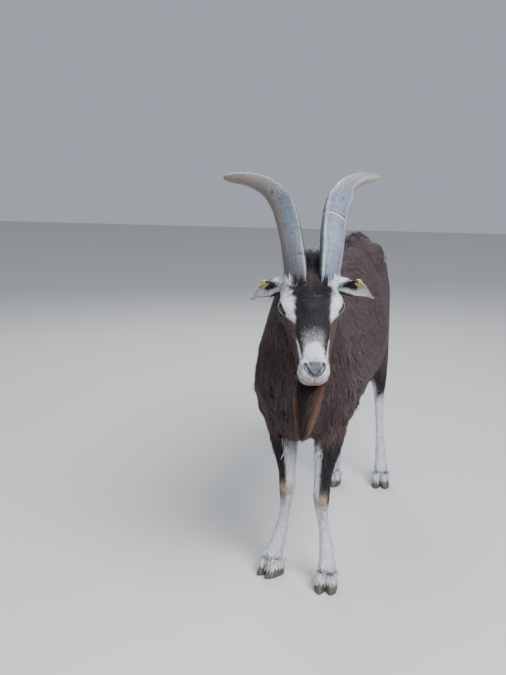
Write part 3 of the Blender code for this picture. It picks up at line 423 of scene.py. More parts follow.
def triangles_of(mesh):
    mesh.calc_loop_triangles()
    corners = np.empty(len(mesh.loop_triangles) * 3, np.int32)
    loops = np.empty(len(mesh.loop_triangles) * 3, np.int32)
    mesh.loop_triangles.foreach_get("vertices", corners)
    mesh.loop_triangles.foreach_get("loops", loops)
    return corners.reshape(-1, 3), loops.reshape(-1, 3)


def node_form(nodes):
    form = bmesh.new()
    for node in nodes:
        form.from_mesh(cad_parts[node].data)
    bmesh.ops.remove_doubles(form, verts=form.verts, dist=1e-6)
    return form


def add_colours(mesh, name, values):
    """Stores up to three values for each point as one colour."""
    layer = mesh.attributes.new(name, "FLOAT_COLOR", "POINT")
    data = np.ones((len(mesh.vertices), 4), np.float32)
    data[:, :values.shape[1]] = values
    layer.data.foreach_set("color", data.ravel())


def neighbour_mean(points, edges, degree):
    """The middle of each point's neighbours."""
    start, end = edges.T
    count = len(points)
    sums = [np.bincount(start, points[end, axis], count) + np.bincount(end, points[start, axis], count)
            for axis in range(3)]
    return np.stack(sums, 1) / degree[:, None]


def soften(mesh, weight, rounds, pull=0.60, push=-0.62):
    """Smooths the surface where weight is high, and keeps its size."""
    points = points_of(mesh)
    edges = np.empty(len(mesh.edges) * 2, np.int32)
    mesh.edges.foreach_get("vertices", edges)
    edges = edges.reshape(-1, 2)
    degree = np.maximum(np.bincount(edges.ravel(), minlength=len(points)), 1)
    for _ in range(rounds):
        for step in (pull, push):
            points += (neighbour_mean(points, edges, degree) - points) * (step * weight)[:, None]
    set_points(mesh, points)


def tree_of(mesh):
    corners, _ = triangles_of(mesh)
    return BVHTree.FromPolygons([tuple(p) for p in points_of(mesh).tolist()], corners.tolist())


# Where the coat is long, short, white, dark or bare

STRIPE_PLACES = np.array([-0.056, -0.040, -0.025, -0.008, 0.010, 0.040, 0.080])
STRIPE_INNER = np.radians([47.5, 43.0, 39.0, 35.0, 34.5, 39.0, 41.0])
STRIPE_OUTER = np.radians([49.0, 48.5, 57.0, 70.0, 77.0, 74.0, 70.0])
MUZZLE_PLACES = np.array([-0.150, -0.138, -0.128, -0.118, -0.107, -0.098, -0.091, -0.085, -0.078])
MUZZLE_WHITE = np.radians([110.0, 100.0, 80.0, 48.0, 38.0, 33.0, 27.0, 15.0, -4.0])
SIDE_LINE = math.radians(51)


def head_share(points):
    """1 on the head, falling to 0 over the top of the neck."""
    local = in_head(points)
    reach = np.linalg.norm(local - np.array([0.0, -0.02, -0.03]), axis=1)
    return fade(0.135, 0.110, local[:, 1]) * fade(0.215, 0.185, reach) * fade(-0.150, -0.115, local[:, 2])


EAR_ROOT = np.array([0.048, 0.075, -0.018])
EAR_TIP = np.array([0.130, 0.070, -0.092])
EAR_ALONG = unit(EAR_TIP - EAR_ROOT)
EAR_FACING = np.array([-0.10, -0.86, 0.42])
EAR_FACING = unit(EAR_FACING - EAR_ALONG * (EAR_FACING @ EAR_ALONG))
EAR_ACROSS = np.cross(EAR_ALONG, EAR_FACING)
EAR_ACROSS = EAR_ACROSS * np.sign(EAR_ACROSS[2])
EAR_SWAY = 0.014


def ear_line(share):
    """The middle of the ear's back at a share of its length, in the head's frame on its left."""
    share = np.asarray(share, float)[..., None]
    droop = 0.012 * np.sin(np.pi * np.clip(share, 0, 1))
    return EAR_ROOT + (EAR_TIP - EAR_ROOT) * share + np.array([0, 0, 1.0]) * droop


def ear_half_roll(share):
    return np.radians(118 - 62 * np.clip(share / 0.26, 0, 1) ** 0.8)


def ear_radius(share):
    share = np.clip(share, 0, 1)
    radius = 0.0172 + 0.0120 * np.sin(np.pi * np.clip(share / 0.9, 0, 1)) - 0.0100 * share
    return radius * (1.0 - 0.86 * np.clip((share - 0.5) / 0.5, 0, 1) ** 1.4)


def ear_places(points, normals):
    """Share of the ear's length, roll from lower edge -1 to upper 1, how far inside, and if near."""
    local = in_head(points)
    side = np.sign(local[:, 0])
    folded = local.copy()
    folded[:, 0] = np.abs(local[:, 0])
    length = np.linalg.norm(EAR_TIP - EAR_ROOT)
    share = (folded - EAR_ROOT) @ EAR_ALONG / (length + side * EAR_SWAY * EAR_ALONG[0])
    folded[:, 0] -= side * EAR_SWAY * share
    offset = folded - ear_line(np.clip(share, 0, 1))
    radius = ear_radius(share)
    up, out = offset @ EAR_ACROSS, offset @ EAR_FACING
    roll = np.arctan2(up, radius - out) / ear_half_roll(share)
    turned_normals = normals @ HEAD_AXES
    turned_normals[:, 0] *= np.sign(local[:, 0])
    centre = unit(offset - EAR_FACING * radius[:, None])
    inside = fade(0.25, -0.25, (centre * turned_normals).sum(1))
    near = np.hypot(up, out - radius * 0.5) < 0.033
    return share, roll, inside, near & (share > 0.02) & (share < 1.1) & (folded[:, 0] > 0.045)


def ear_marks(points, normals):
    """Ears are pale inside with a dark place in their upper half and a dark lower edge, and brown behind. The
    left ear also has a line of painted shade low inside, where its fold shades it.
    """
    share, roll, inside, near = ear_places(points, normals)
    patch = fade(0.15, 0.21, share) * fade(0.54, 0.44, share) * fade(-0.50, -0.20, roll)
    corner = fade(0.10, 0.04, share) * fade(0.45, 0.75, roll)
    edge = fade(-0.70, -0.84, roll) * fade(0.14, 0.22, share)
    # Painted shade: a dark line low inside the left ear, where its fold shades it.
    line = peak(roll, -0.35, 0.14) * fade(0.04, 0.09, share) * fade(0.32, 0.25, share)
    line = line * (in_head(points)[:, 0] > 0)
    shaded = np.maximum.reduce([patch, corner, edge, 0.8 * line])
    white = inside * (1.0 - shaded) + (1.0 - inside) * fade(0.13, 0.07, share)
    dark = inside * shaded + (1.0 - inside) * 0.55
    return near, white, dark


def head_marks(points):
    """Face markings: pale stripes from horn to mouth, a dark blaze between, a pale muzzle, painted shade on
    the right cheek and painted sheen down the nose bridge.
    """
    x, y, z = in_head(points).T
    side = np.abs(x)
    turn = np.arctan2(side, z + 0.030)
    edge = np.radians(3.5)
    wander = np.radians(3.0) * ripple(points, 190.0, 1.0)
    inner = np.interp(y, STRIPE_PLACES, STRIPE_INNER) + wander
    outer = np.interp(y, STRIPE_PLACES, STRIPE_OUTER) + wander
    white = fade(-edge, edge, turn - inner) * fade(edge, -edge, turn - outer)
    white = white * fade(-0.046, -0.031, y) * fade(0.100, 0.080, y)
    dark = fade(edge, -edge, turn - np.minimum(inner, SIDE_LINE)) * fade(-0.126, -0.112, y)
    behind = fade(math.radians(70), math.radians(78), turn) * fade(0.015, 0.035, y)
    behind = behind * fade(0.095, 0.07, y) * fade(-0.06, -0.03, z)
    # Painted shade: the right cheek is darker.
    right_cheek_painted_shade = fade(0.0, -0.02, x) * fade(math.radians(62), math.radians(78), turn)
    right_cheek_painted_shade = right_cheek_painted_shade * fade(-0.110, -0.085, y)
    dark = np.maximum.reduce([dark, behind * 0.9, right_cheek_painted_shade * 0.5])
    reach = np.interp(y, MUZZLE_PLACES, MUZZLE_WHITE) + 0.7 * wander
    ragged = turn - reach + 0.5 * edge * ripple(points, 420.0, 2.0)
    muzzle = fade(2.0 * edge, -2.0 * edge, ragged) * fade(-0.074, -0.092, y)
    spots = fade(-0.1, 0.6, ripple(points, 260.0, 6.0)) * fade(-0.100, -0.125, y)
    side_width = np.interp(y, [-0.14, -0.08], [0.13, 0.03])
    side_line = peak(turn, SIDE_LINE + 0.3 * wander, side_width) * fade(-0.068, -0.080, y)
    chin = fade(-0.085, -0.105, y) * fade(-0.048, -0.056, z)
    # Painted sheen: a grey wash down the nose bridge, through the white and frost masks.
    bridge_sheen = fade(-0.048, -0.090, y) * fade(-0.130, -0.110, y) * fade(0.75, 0.35, turn)
    white = np.maximum.reduce([white, muzzle, side_line, chin * 0.85, 0.25 * bridge_sheen])
    u, v, w = eye_places(points).T
    below_eye = fade(-0.0065, -0.0105, v) * fade(0.030, 0.022, np.hypot(u, v)) * (w > -0.012)
    white = white * (1.0 - below_eye) * (1.0 - 0.42 * spots)
    dark = np.maximum.reduce([dark * (1.0 - white), 0.55 * below_eye, 0.35 * spots])
    forehead = peak(y, 0.054, 0.015) * fade(0.30, 0.08, turn)
    rust = 0.16 * forehead + peak(y, -0.014, 0.024) * peak(turn, math.radians(86), 0.26) * 0.55
    dark = dark * (1.0 - 0.50 * forehead)
    eye = np.sqrt((side - 0.060) ** 2 + y ** 2 + (z - 0.004) ** 2)
    white = white * fade(0.004, 0.010, eye)
    return white, dark, np.clip(rust, 0, 1), bridge_sheen


NOSTRIL_PATH = np.array([
    (0.0190, -0.1265, -0.0045),
    (0.0180, -0.1330, -0.0050),
    (0.0140, -0.1395, -0.0060),
    (0.0090, -0.1445, -0.0075),
    (0.0042, -0.1480, -0.0100),
])
MOUTH_PLACES = np.array([-0.162, -0.152, -0.130, -0.105, -0.085])
MOUTH_HEIGHTS = np.array([-0.027, -0.030, -0.0375, -0.0445, -0.0475])


def distance_to_path(points, path):
    """How far each point lies from a line through a few places, and how far along it."""
    best = np.full(len(points), 9.0)
    along = np.zeros(len(points))
    for i, (start, end) in enumerate(zip(path, path[1:])):
        run = end - start
        share = np.clip((points - start) @ run / (run @ run), 0, 1)
        far = np.linalg.norm(points - (start + share[:, None] * run), axis=1)
        nearer = far < best
        best = np.where(nearer, far, best)
        along = np.where(nearer, (i + share) / (len(path) - 1), along)
    return best, along


def mouth_height(y):
    return np.interp(y, MOUTH_PLACES, MOUTH_HEIGHTS)


def eye_places(points):
    """Points in the frame of the eye on their own side: along the slit, across it and outwards."""
    left = in_head(points)[:, 0] > 0
    placed = np.empty_like(points)
    for side, mine in ((1, left), (-1, ~left)):
        centre, axes = eye_frame(side)
        placed[mine] = (points[mine] - centre) @ axes
    return placed


def eye_rim(points):
    """1 on the bare lid edges and in the tear line before the eye."""
    local = eye_places(points)
    u, v, w = local.T
    bow = SLIT_HALF_HEIGHT * np.clip(1.0 - (u / SLIT_HALF_LENGTH) ** 2, 0, 1)
    gap = np.abs(v - 0.0005) - bow
    rim = fade(0.0034, 0.0018, gap) * fade(0.0170, 0.0155, np.abs(u)) * (w > 0.0)
    rim = rim * (np.linalg.norm(local, axis=1) < 0.026)
    tear = distance_to_path(local, TEAR_LINE)[0]
    return np.maximum(rim, fade(0.0022, 0.0010, tear))


def bare_skin(points):
    """Naked skin: nose pad, nostrils, lips, lid edges. Returns that mask, how pink it is, and how dark it is:
    dark lid and pad skin, and painted shade in the nostrils and along the mouth line.
    """
    local = in_head(points)
    x, y, z = local.T
    side = np.abs(x)
    folded = np.stack([side, y, z], 1)
    nostril, _ = distance_to_path(folded, NOSTRIL_PATH)
    below = -0.1495 + 1.15 * np.maximum(side - 0.0042, 0.0)
    pad = fade(0.0150, 0.0110, side) * fade(-0.116, -0.123, y) * fade(-0.0015, 0.0005, y - below)
    groove = fade(0.0016, 0.0008, side) * fade(-0.143, -0.146, y) * fade(-0.032, -0.028, z)
    pad = np.maximum(pad, groove)
    lips = peak(z, mouth_height(y), 0.0036) * fade(-0.095, -0.110, y)
    lips = np.maximum(lips, 0.55 * fade(-0.146, -0.150, y) * (z > -0.060))
    lids = eye_rim(points)
    mask = np.clip(np.maximum.reduce([pad, fade(0.0062, 0.0046, nostril), lips, lids]), 0, 1)
    # Painted shade: the middles of the nostrils and the mouth line are painted black. The lid edges and the
    # pad are dark skin.
    slit = peak(z, mouth_height(y), 0.0012) * fade(-0.088, -0.100, y)
    black = np.maximum.reduce([fade(0.0052, 0.0030, nostril), slit, lids, 0.35 * pad])
    return mask, np.clip(lips * 1.2, 0, 1) * (1 - lids), black


FORELEGS_MIDDLE = 0.008
FORE_AXES = {
    1: np.array([(0.067, 0.012, 0.355), (0.060, 0.000, 0.300), (0.056, -0.008, 0.250),
                 (0.0555, -0.012, 0.215), (0.060, -0.005, 0.150), (0.0685, -0.008, 0.100),
                 (0.077, -0.036, 0.020)]),
    -1: np.array([(-0.049, 0.034, 0.355), (-0.041, 0.028, 0.300), (-0.036, 0.022, 0.255),
                  (-0.035, 0.018, 0.225), (-0.044, 0.026, 0.158), (-0.056, 0.030, 0.102),
                  (-0.072, 0.006, 0.020)]),
}


def leg_offsets(stance):
    """How far a point lies outward and forward of its own foreleg's middle."""
    x, y, z = stance.T
    outward = np.zeros(len(x))
    ahead = np.zeros(len(x))
    for side, axis in FORE_AXES.items():
        order = axis[::-1]
        middle_x = np.interp(z, order[:, 2], order[:, 0])
        middle_y = np.interp(z, order[:, 2], order[:, 1])
        mine = (x > FORELEGS_MIDDLE) if side > 0 else (x <= FORELEGS_MIDDLE)
        outward = np.where(mine, (x - middle_x) * side, outward)
        ahead = np.where(mine, middle_y - y, ahead)
    return outward, ahead


TAIL_REACH = [0.790, 0.826, 0.858, 0.886]
TAIL_HEIGHT = [0.700, 0.708, 0.708, 0.700]


def tail_share(stance):
    x, y, z = stance.T
    return fade(0.803, 0.815, y) * fade(0.660, 0.675, z) * fade(0.060, 0.045, np.abs(x - CENTRE_X))


def body_marks(points):
    """Pale lower legs, white inner forearms, a dark back, dark legs above, a pale mirror behind."""
    stance = in_stance(points)
    x, y, z = stance.T
    wander = ripple(points, 60.0, 2.0)
    front = y < 0.35
    outward, ahead = leg_offsets(stance)
    low = fade(0.215, 0.190, z + 0.006 * wander)
    inside = fade(0.004, -0.004, outward + 0.3 * np.maximum(ahead - 0.012, 0)) * fade(0.385, 0.345, z)
    fore_white = np.maximum(low, inside)
    hind_white = np.maximum(fade(0.300, 0.262, z + 0.008 * wander + 0.25 * np.maximum(y - 0.76, 0)),
                            fade(0.37, 0.31, z) * fade(0.055, 0.045, np.abs(x - CENTRE_X)) * (y > 0.6))
    white = np.where(front, fore_white, hind_white)
    mirror = fade(0.790, 0.808, y) * fade(0.055, 0.032, np.abs(x - CENTRE_X))
    mirror = mirror * fade(0.50, 0.55, z) * fade(0.66, 0.62, z)
    white = np.maximum(white, 0.75 * mirror)
    leg_dark = fade(0.42, 0.35, z) * (1.0 - white) * np.where(front, 0.95, 0.80)
    from_spine = np.abs(x - CENTRE_X - np.interp(y, [-0.2, 0.0], [0.05, 0.0]))
    back = fade(0.030, 0.010, from_spine) * fade(0.70, 0.76, z) * 0.9
    neck = fade(0.02, -0.06, y) * fade(0.36, 0.42, z) * 0.45
    tail = tail_share(stance)
    under = tail * fade(-0.003, -0.009, z - np.interp(y, TAIL_REACH, TAIL_HEIGHT))
    under = under * fade(0.020, 0.010, np.abs(x - CENTRE_X))
    white = np.maximum(white * (1 - tail), 0.9 * under)
    tail = 0.75 * tail * (1 - under)
    dark = np.clip(np.maximum.reduce([leg_dark, back, neck, tail]) + 0.12 * wander * (z > 0.4), 0, 1)
    knee = np.where(x > FORELEGS_MIDDLE, 0.216, 0.226)
    callus = peak(z, knee, 0.017) * fade(0.004, 0.014, ahead) * front * 0.9
    below = peak(z, knee - 0.040, 0.010) * peak(outward, 0.002, 0.005) * (ahead > 0.006) * front * 0.55
    white = white * (1.0 - below)
    dark = np.maximum(dark, below * 0.6)
    rust = fade(0.43, 0.36, z) * (y > 0.10) * (y < 0.62) * 0.35 + peak(z, 0.40, 0.05) * (y < 0.0) * 0.12
    frost = 0.55 * back * fade(0.30, 0.12, y) * fade(-0.13, -0.08, y)
    return white, dark, rust, callus, np.clip(frost, 0, 1)


BEARD_ROOT = np.array([0.0955, -0.297, 0.583])
BEARD_TIP = np.array([0.082, -0.318, 0.440])


def coat_marks(points, normals):
    """All masks at row-frame points: (white, dark, rust) and (bare, callus, frost). Frost also carries
    painted sheen on the nose bridge, and dark carries painted shade in the nostrils and the mouth line.
    """
    head = head_share(points)
    white_h, dark_h, rust_h, bridge_sheen_h = head_marks(points)
    on_ear, white_e, dark_e = ear_marks(points, normals)
    white_h = np.where(on_ear, white_e, white_h)
    dark_h = np.where(on_ear, dark_e, dark_h)
    rust_h = np.where(on_ear, 0.0, rust_h)
    white_b, dark_b, rust_b, callus, frost = body_marks(points)
    bare, pink, black = bare_skin(points)
    bare = bare * head * ~on_ear
    callus = np.where(bare > 0.3, pink, callus)
    dark = head * dark_h + (1 - head) * dark_b
    marks = np.stack([head * white_h + (1 - head) * white_b, np.where(bare > 0.05, black, dark),
                      head * rust_h + (1 - head) * rust_b], 1)
    finish = np.stack([bare, callus, np.maximum(frost * (1 - head), 0.45 * bridge_sheen_h * head)], 1)
    return np.clip(marks, 0, 1), np.clip(finish, 0, 1)


def lie_of(points, normals):
    """The way the hair points over the body, along the skin."""
    local = in_head(points)
    stance = in_stance(points)
    x, y, z = stance.T
    head = head_share(points)[:, None]
    ones = np.ones(len(x))
    spread = np.sign(local[:, 0]) * fade(0.0, 0.012, np.abs(local[:, 0]))
    brow = peak(local[:, 1], 0.022, 0.026) * (local[:, 2] > 0.005)
    droop = -0.35 * ones * (local[:, 2] < -0.01)
    on_head = np.stack([spread * (0.30 + 1.6 * brow), ones - 0.5 * brow, droop], 1) @ HEAD_AXES.T
    chin = (fade(-0.060, -0.090, local[:, 1]) * fade(-0.052, -0.060, local[:, 2]))[:, None]
    on_head = on_head * (1 - chin) + np.array([0, 0.2, -1.0]) * chin
    top = fade(0.70, 0.78, z)
    flank = np.stack([0 * x, 0.80 + 0.3 * top, -0.62 * (1 - top)], 1)
    flank[:, 1] += 0.25 * ripple(points, 9.0, 3.0)
    flank[:, 2] += 0.22 * ripple(points, 12.0, 5.0)
    chest = np.stack([0 * x, 0.18 * ones, -1.0 * ones], 1)
    chest[:, 0] += 0.22 * ripple(points, 22.0, 7.0)
    neck = fade(0.08, -0.04, y)[:, None] * (1 - top[:, None])
    legs = (fade(0.40, 0.34, z) + 0.9 * fade(0.50, 0.44, z) * fade(0.56, 0.62, y)).clip(0, 1)[:, None]
    rear = fade(0.74, 0.80, y)[:, None]
    down = np.array([0.0, 0.10, -1.0])
    body = flank * (1 - neck) + chest * neck
    body = body * (1 - rear) + down * rear
    body = body * (1 - legs) + down * legs
    tail = tail_share(stance)[:, None]
    aside = 0.3 * np.sign(x - CENTRE_X) * fade(0.0, 0.012, np.abs(x - CENTRE_X))
    fan = np.stack([aside, 0.7 * ones, -0.8 * ones], 1)
    body = body * (1 - tail) + fan * tail
    way = on_head * head + body * (1 - head)
    near = ear_places(points, normals)[3]
    along = np.stack([np.sign(local[:, 0]) * EAR_ALONG[0], ones * EAR_ALONG[1], ones * EAR_ALONG[2]], 1)
    way = np.where(near[:, None], along @ HEAD_AXES.T, way)
    way = way - normals * (way * normals).sum(1, keepdims=True)
    return unit(way)


def long_share(points):
    """1 where the coat is long and wavy: neck, throat, chest, elbows and the backs of the thighs."""
    _, y, z = in_stance(points).T
    head = head_share(points)
    chest = fade(0.10, -0.03, y) * fade(0.355, 0.385, z) * fade(0.79, 0.74, z)
    elbow = peak(y, 0.05, 0.09) * peak(z, 0.40, 0.05)
    thigh = fade(0.755, 0.785, y) * fade(0.36, 0.42, z) * fade(0.66, 0.60, z)
    return np.clip(np.maximum.reduce([chest, elbow, thigh]) * (1 - head), 0, 1)


# The skin

FLESH_NODES = ["head", "jaw", "neck", "chest", "barrel", "rump", "tail"] + [
    f"{end}_{side}_{bone}" for end, bones in (("fore", ("forearm", "cannon", "pastern")),
                                              ("hind", ("thigh", "cannon", "pastern")))
    for side in ("left", "right") for bone in bones]


def eye_frame(side):
    """A frame at an eyeball: X along the slit towards the nose, Y across it, Z looking out."""
    aim = Vector((side * 0.70, -0.62, 0.35)).normalized()
    slit = Vector((-side * 0.35, -1, -0.28))
    slit = (slit - aim * slit.dot(aim)).normalized()
    across = aim.cross(slit)
    if across.z < 0:
        across = -across
    axes = np.array(Matrix((slit, across, aim)).transposed())
    node = "eye_left" if side > 0 else "eye_right"
    return np.array(middle_of(node)), HEAD_AXES @ axes


SLIT_HALF_LENGTH = 0.0138
SLIT_HALF_HEIGHT = 0.0050
LID_DEPTH = 0.0022
TEAR_LINE = np.array([(0.0128, -0.0012, 0.010), (0.0215, -0.0050, 0.003)])
LOCK_GAP = 0.006


def bridged_share(points):
    """Where gaps between the solids' locks are bridged before the skin is made: the trunk and neck."""
    _, y, z = in_stance(points).T
    beard = (y < -0.245) & (z < 0.600)
    return fade(0.335, 0.385, z) * (1 - head_share(points)) * ~beard * fade(0.815, 0.800, y)


def skin_form():
    """The flesh with its eyes covered, as one even surface that bridges the gaps between locks."""
    form = node_form(FLESH_NODES)
    for side in (-1, 1):
        centre, _ = eye_frame(side)
        bmesh.ops.create_uvsphere(form, u_segments=24, v_segments=16, radius=EYE_RADIUS + 0.0020,
                                  matrix=Matrix.Translation(centre))
    mesh = remeshed(form, SKIN_VOXEL, 1)
    points = points_of(mesh)
    set_points(mesh, points + normals_of(mesh) * (LOCK_GAP * bridged_share(points))[:, None])
    swollen = bmesh.new()
    swollen.from_mesh(mesh)
    mesh = remeshed(swollen, SKIN_VOXEL, 2)
    points = points_of(mesh)
    bridged = bridged_share(points)
    soften(mesh, bridged, 12)
    points = points_of(mesh)
    set_points(mesh, points - normals_of(mesh) * (LOCK_GAP * bridged)[:, None])
    soften(mesh, np.maximum(bridged, 0.5), 6)
    return mesh


def refine_face(mesh):
    """Splits the skin finer over the head, and finest about the eyes, nose and mouth."""
    form = bmesh.new()
    form.from_mesh(mesh)
    bmesh.ops.delete(form, geom=loose_shells(form), context="VERTS")
    for reach in (0.0, 0.0, 1.0):
        places = np.array([vert.co for vert in form.verts])
        local = in_head(places)
        wanted = head_share(places) > 0.5
        if reach:
            side = np.abs(local[:, 0])
            eye = np.sqrt((side - 0.055) ** 2 + local[:, 1] ** 2 + local[:, 2] ** 2) < 0.026
            wanted &= eye | ((local[:, 1] < -0.105) & (local[:, 2] > -0.065))
        form.verts.ensure_lookup_table()
        chosen = [edge for edge in form.edges if wanted[edge.verts[0].index] and wanted[edge.verts[1].index]]
        bmesh.ops.subdivide_edges(form, edges=chosen, cuts=1, use_grid_fill=True)
        form.verts.index_update()
        form.verts.ensure_lookup_table()
        places = np.array([vert.co for vert in form.verts])
        rough = [form.verts[i] for i in np.nonzero(head_share(places) > 0.3)[0]]
        for _ in range(3):
            bmesh.ops.smooth_vert(form, verts=rough, factor=0.5,
                                  use_axis_x=True, use_axis_y=True, use_axis_z=True)
    form.to_mesh(mesh)
    form.free()
    mesh.update()
    return mesh


def loose_shells(form):
    """Every point that doesn't belong to the largest connected surface."""
    form.verts.ensure_lookup_table()
    seen = np.zeros(len(form.verts), bool)
    groups = []
    for start in form.verts:
        if seen[start.index]:
            continue
        seen[start.index] = True
        group = [start]
        for vert in group:
            for edge in vert.link_edges:
                other = edge.other_vert(vert)
                if not seen[other.index]:
                    seen[other.index] = True
                    group.append(other)
        groups.append(group)
    largest = max(groups, key=len)
    return [vert for group in groups if group is not largest for vert in group]


def coat_depth(points):
    """How deep the skin lies under the coat's own outline."""
    z = in_stance(points)[:, 2]
    head = head_share(points)
    body = 0.0022 + 0.0030 * fade(0.33, 0.45, z)
    return head * 0.0012 + (1 - head) * (body + 0.0030 * long_share(points))


def shape_skin(mesh):
    """Draws the skin in under the coat, and thins it where only long hair reaches."""
    points = points_of(mesh)
    points = points - normals_of(mesh) * coat_depth(points)[:, None]
    stance = in_stance(points)
    share = fade(BEARD_ROOT[2] + 0.004, BEARD_ROOT[2] - 0.030, stance[:, 2])
    near = np.linalg.norm(stance[:, :2] - BEARD_ROOT[:2], axis=1) < 0.060
    share = share * near * (stance[:, 1] < -0.245)
    drop = np.clip((BEARD_ROOT[2] - stance[:, 2]) / (BEARD_ROOT[2] - BEARD_TIP[2]), 0, 1)
    axis = BEARD_ROOT + (BEARD_TIP - BEARD_ROOT) * (0.42 * drop)[:, None]
    thin = axis + (stance - (BEARD_ROOT + (BEARD_TIP - BEARD_ROOT) * drop[:, None])) * 0.50
    stance = stance * (1 - share[:, None]) + thin * share[:, None]
    set_points(mesh, stance - SHIFT)


def carve_face(mesh):
    """Nostrils, mouth, nose pad, brows, lids and the folds about the eyes."""
    points = points_of(mesh)
    normals = normals_of(mesh)
    local = in_head(points)
    head = head_share(points)
    x, y, z = local.T
    narrow = fade(-0.132, -0.158, y) * fade(-0.006, -0.026, z)
    points = points - HEAD_AXES[:, 0] * (x * 0.20 * narrow * head)[:, None]
    chin = fade(-0.128, -0.150, y) * peak(z, -0.046, 0.016) * head
    points = points + HEAD_AXES @ np.array([0, -0.45, -0.9]) * (0.0075 * chin)[:, None]
    local = in_head(points)
    x, y, z = local.T
    folded = np.stack([np.abs(x), y, z], 1)
    push = np.zeros(len(points))
    hole, along = distance_to_path(folded, NOSTRIL_PATH)
    push -= 0.0075 * np.exp(-(hole / 0.0028) ** 2) * np.sin(np.pi * np.clip(along * 0.86 + 0.10, 0, 1)) ** 0.5
    push += 0.0016 * peak(hole, 0.0062, 0.0024) * (folded[:, 0] > 0.006)
    mouth = (z - mouth_height(y)) / 0.0016
    at_mouth = fade(-0.088, -0.100, y)
    push -= 0.0034 * np.exp(-mouth ** 2) * at_mouth
    push += 0.0012 * peak(z, mouth_height(y) + 0.0055, 0.0030) * at_mouth
    push += 0.0016 * peak(z, mouth_height(y) - 0.0060, 0.0036) * at_mouth
    groove = np.exp(-(x / 0.0011) ** 2) * fade(-0.143, -0.147, y) * fade(-0.036, -0.030, z)
    push -= 0.0014 * groove
    folds = np.sin((y - 0.010) * 900.0 + 2.0 * ripple(points, 60.0))
    push += 0.0005 * folds * peak(y, 0.018, 0.018) * fade(0.034, 0.022, np.abs(x)) * (z > 0.01)
    push += 0.0004 * ripple(points, 330.0, 4.0)
    points = points + normals * (push * head)[:, None]
    for side in (-1, 1):
        points = shape_lids(points, side)
    set_points(mesh, points)


def shape_lids(points, side):
    """Lays the lids over the eyeball, with a thick rim, a fold above and a tear line."""
    centre, axes = eye_frame(side)
    local = (points - centre) @ axes
    u, v, w = local.T
    near = (np.linalg.norm(local, axis=1) < 0.030) & (w > 0.002)
    bow = 1.0 - (u / 0.0150) ** 2
    over = v - 0.0005
    gap = np.abs(over) - SLIT_HALF_HEIGHT * np.clip(bow, 0, 1)
    radius = np.linalg.norm(local, axis=1)
    rim = EYE_RADIUS + 0.0011 + 0.0016 * fade(0.0, 0.0035, gap)
    hold = fade(0.0170, 0.0095, np.sqrt(u ** 2 + v ** 2)) * near
    wanted = rim + 0.0012 * peak(over, 0.0088, 0.0018) - 0.0011 * peak(over, 0.0066, 0.0011) * (over > 0)
    wanted -= 0.0009 * peak(over, -0.0078, 0.0014)
    scale = 1.0 + hold * (wanted / np.maximum(radius, 1e-6) - 1.0)
    moved = local * scale[:, None]
    tear = distance_to_path(local, TEAR_LINE)[0]
    moved[:, 2] -= 0.0012 * np.exp(-(tear / 0.0018) ** 2) * near
    return moved @ axes.T + centre


def open_lids(mesh):
    """Cuts the slit in the lids, trims its edge to an even bow and turns the rim inwards."""
    form = bmesh.new()
    form.from_mesh(mesh)
    for side in (-1, 1):
        centre, axes = eye_frame(side)
        form.faces.ensure_lookup_table()
        places = np.array([face.calc_center_median() for face in form.faces])
        u, v, w = ((places - centre) @ axes).T
        bow = SLIT_HALF_HEIGHT * (1.0 - (u / SLIT_HALF_LENGTH) ** 2)
        inside = (np.abs(u) < SLIT_HALF_LENGTH) & (np.abs(v - 0.0005) < bow) & (w > 0.004)
        inside &= np.linalg.norm(places - centre, axis=1) < 0.022
        bmesh.ops.delete(form, geom=[form.faces[i] for i in np.nonzero(inside)[0]], context="FACES")
        edges = [edge for edge in form.edges if len(edge.link_faces) == 1]
        edges = [edge for edge in edges if (edge.verts[0].co - Vector(centre)).length < 0.024]
        rim = {vert for edge in edges for vert in edge.verts}
        for vert in rim:
            local = (np.array(vert.co) - centre) @ axes
            share = np.clip(local[0] / SLIT_HALF_LENGTH, -1, 1)
            height = SLIT_HALF_HEIGHT * (1.0 - share ** 2)
            local[1] = 0.0005 + math.copysign(height, local[1] - 0.0005)
            local[2] = math.sqrt(max((EYE_RADIUS + 0.0013) ** 2 - local[0] ** 2 - local[1] ** 2, 1e-6))
            vert.co = Vector(local @ axes.T + centre)
        made = bmesh.ops.extrude_edge_only(form, edges=edges)["geom"]
        for vert in made:
            if isinstance(vert, bmesh.types.BMVert):
                inward = (Vector(centre) - vert.co).normalized()
                vert.co += inward * LID_DEPTH
    form.to_mesh(mesh)
    form.free()
    mesh.update()


def unwrap(piece):
    """Gives a piece its OFBake map, an unwrap of its own shape."""
    piece.data.uv_layers.new(name="OFBake")
    bpy.context.view_layer.objects.active = piece
    piece.select_set(True)
    bpy.ops.object.mode_set(mode="EDIT")
    bpy.ops.mesh.select_all(action="SELECT")
    bpy.ops.uv.smart_project(angle_limit=math.radians(66), island_margin=0.003)
    bpy.ops.object.mode_set(mode="OBJECT")
    piece.select_set(False)


EAR_STEPS = 54
EAR_SIDES = 26
EAR_SUNK = -0.09


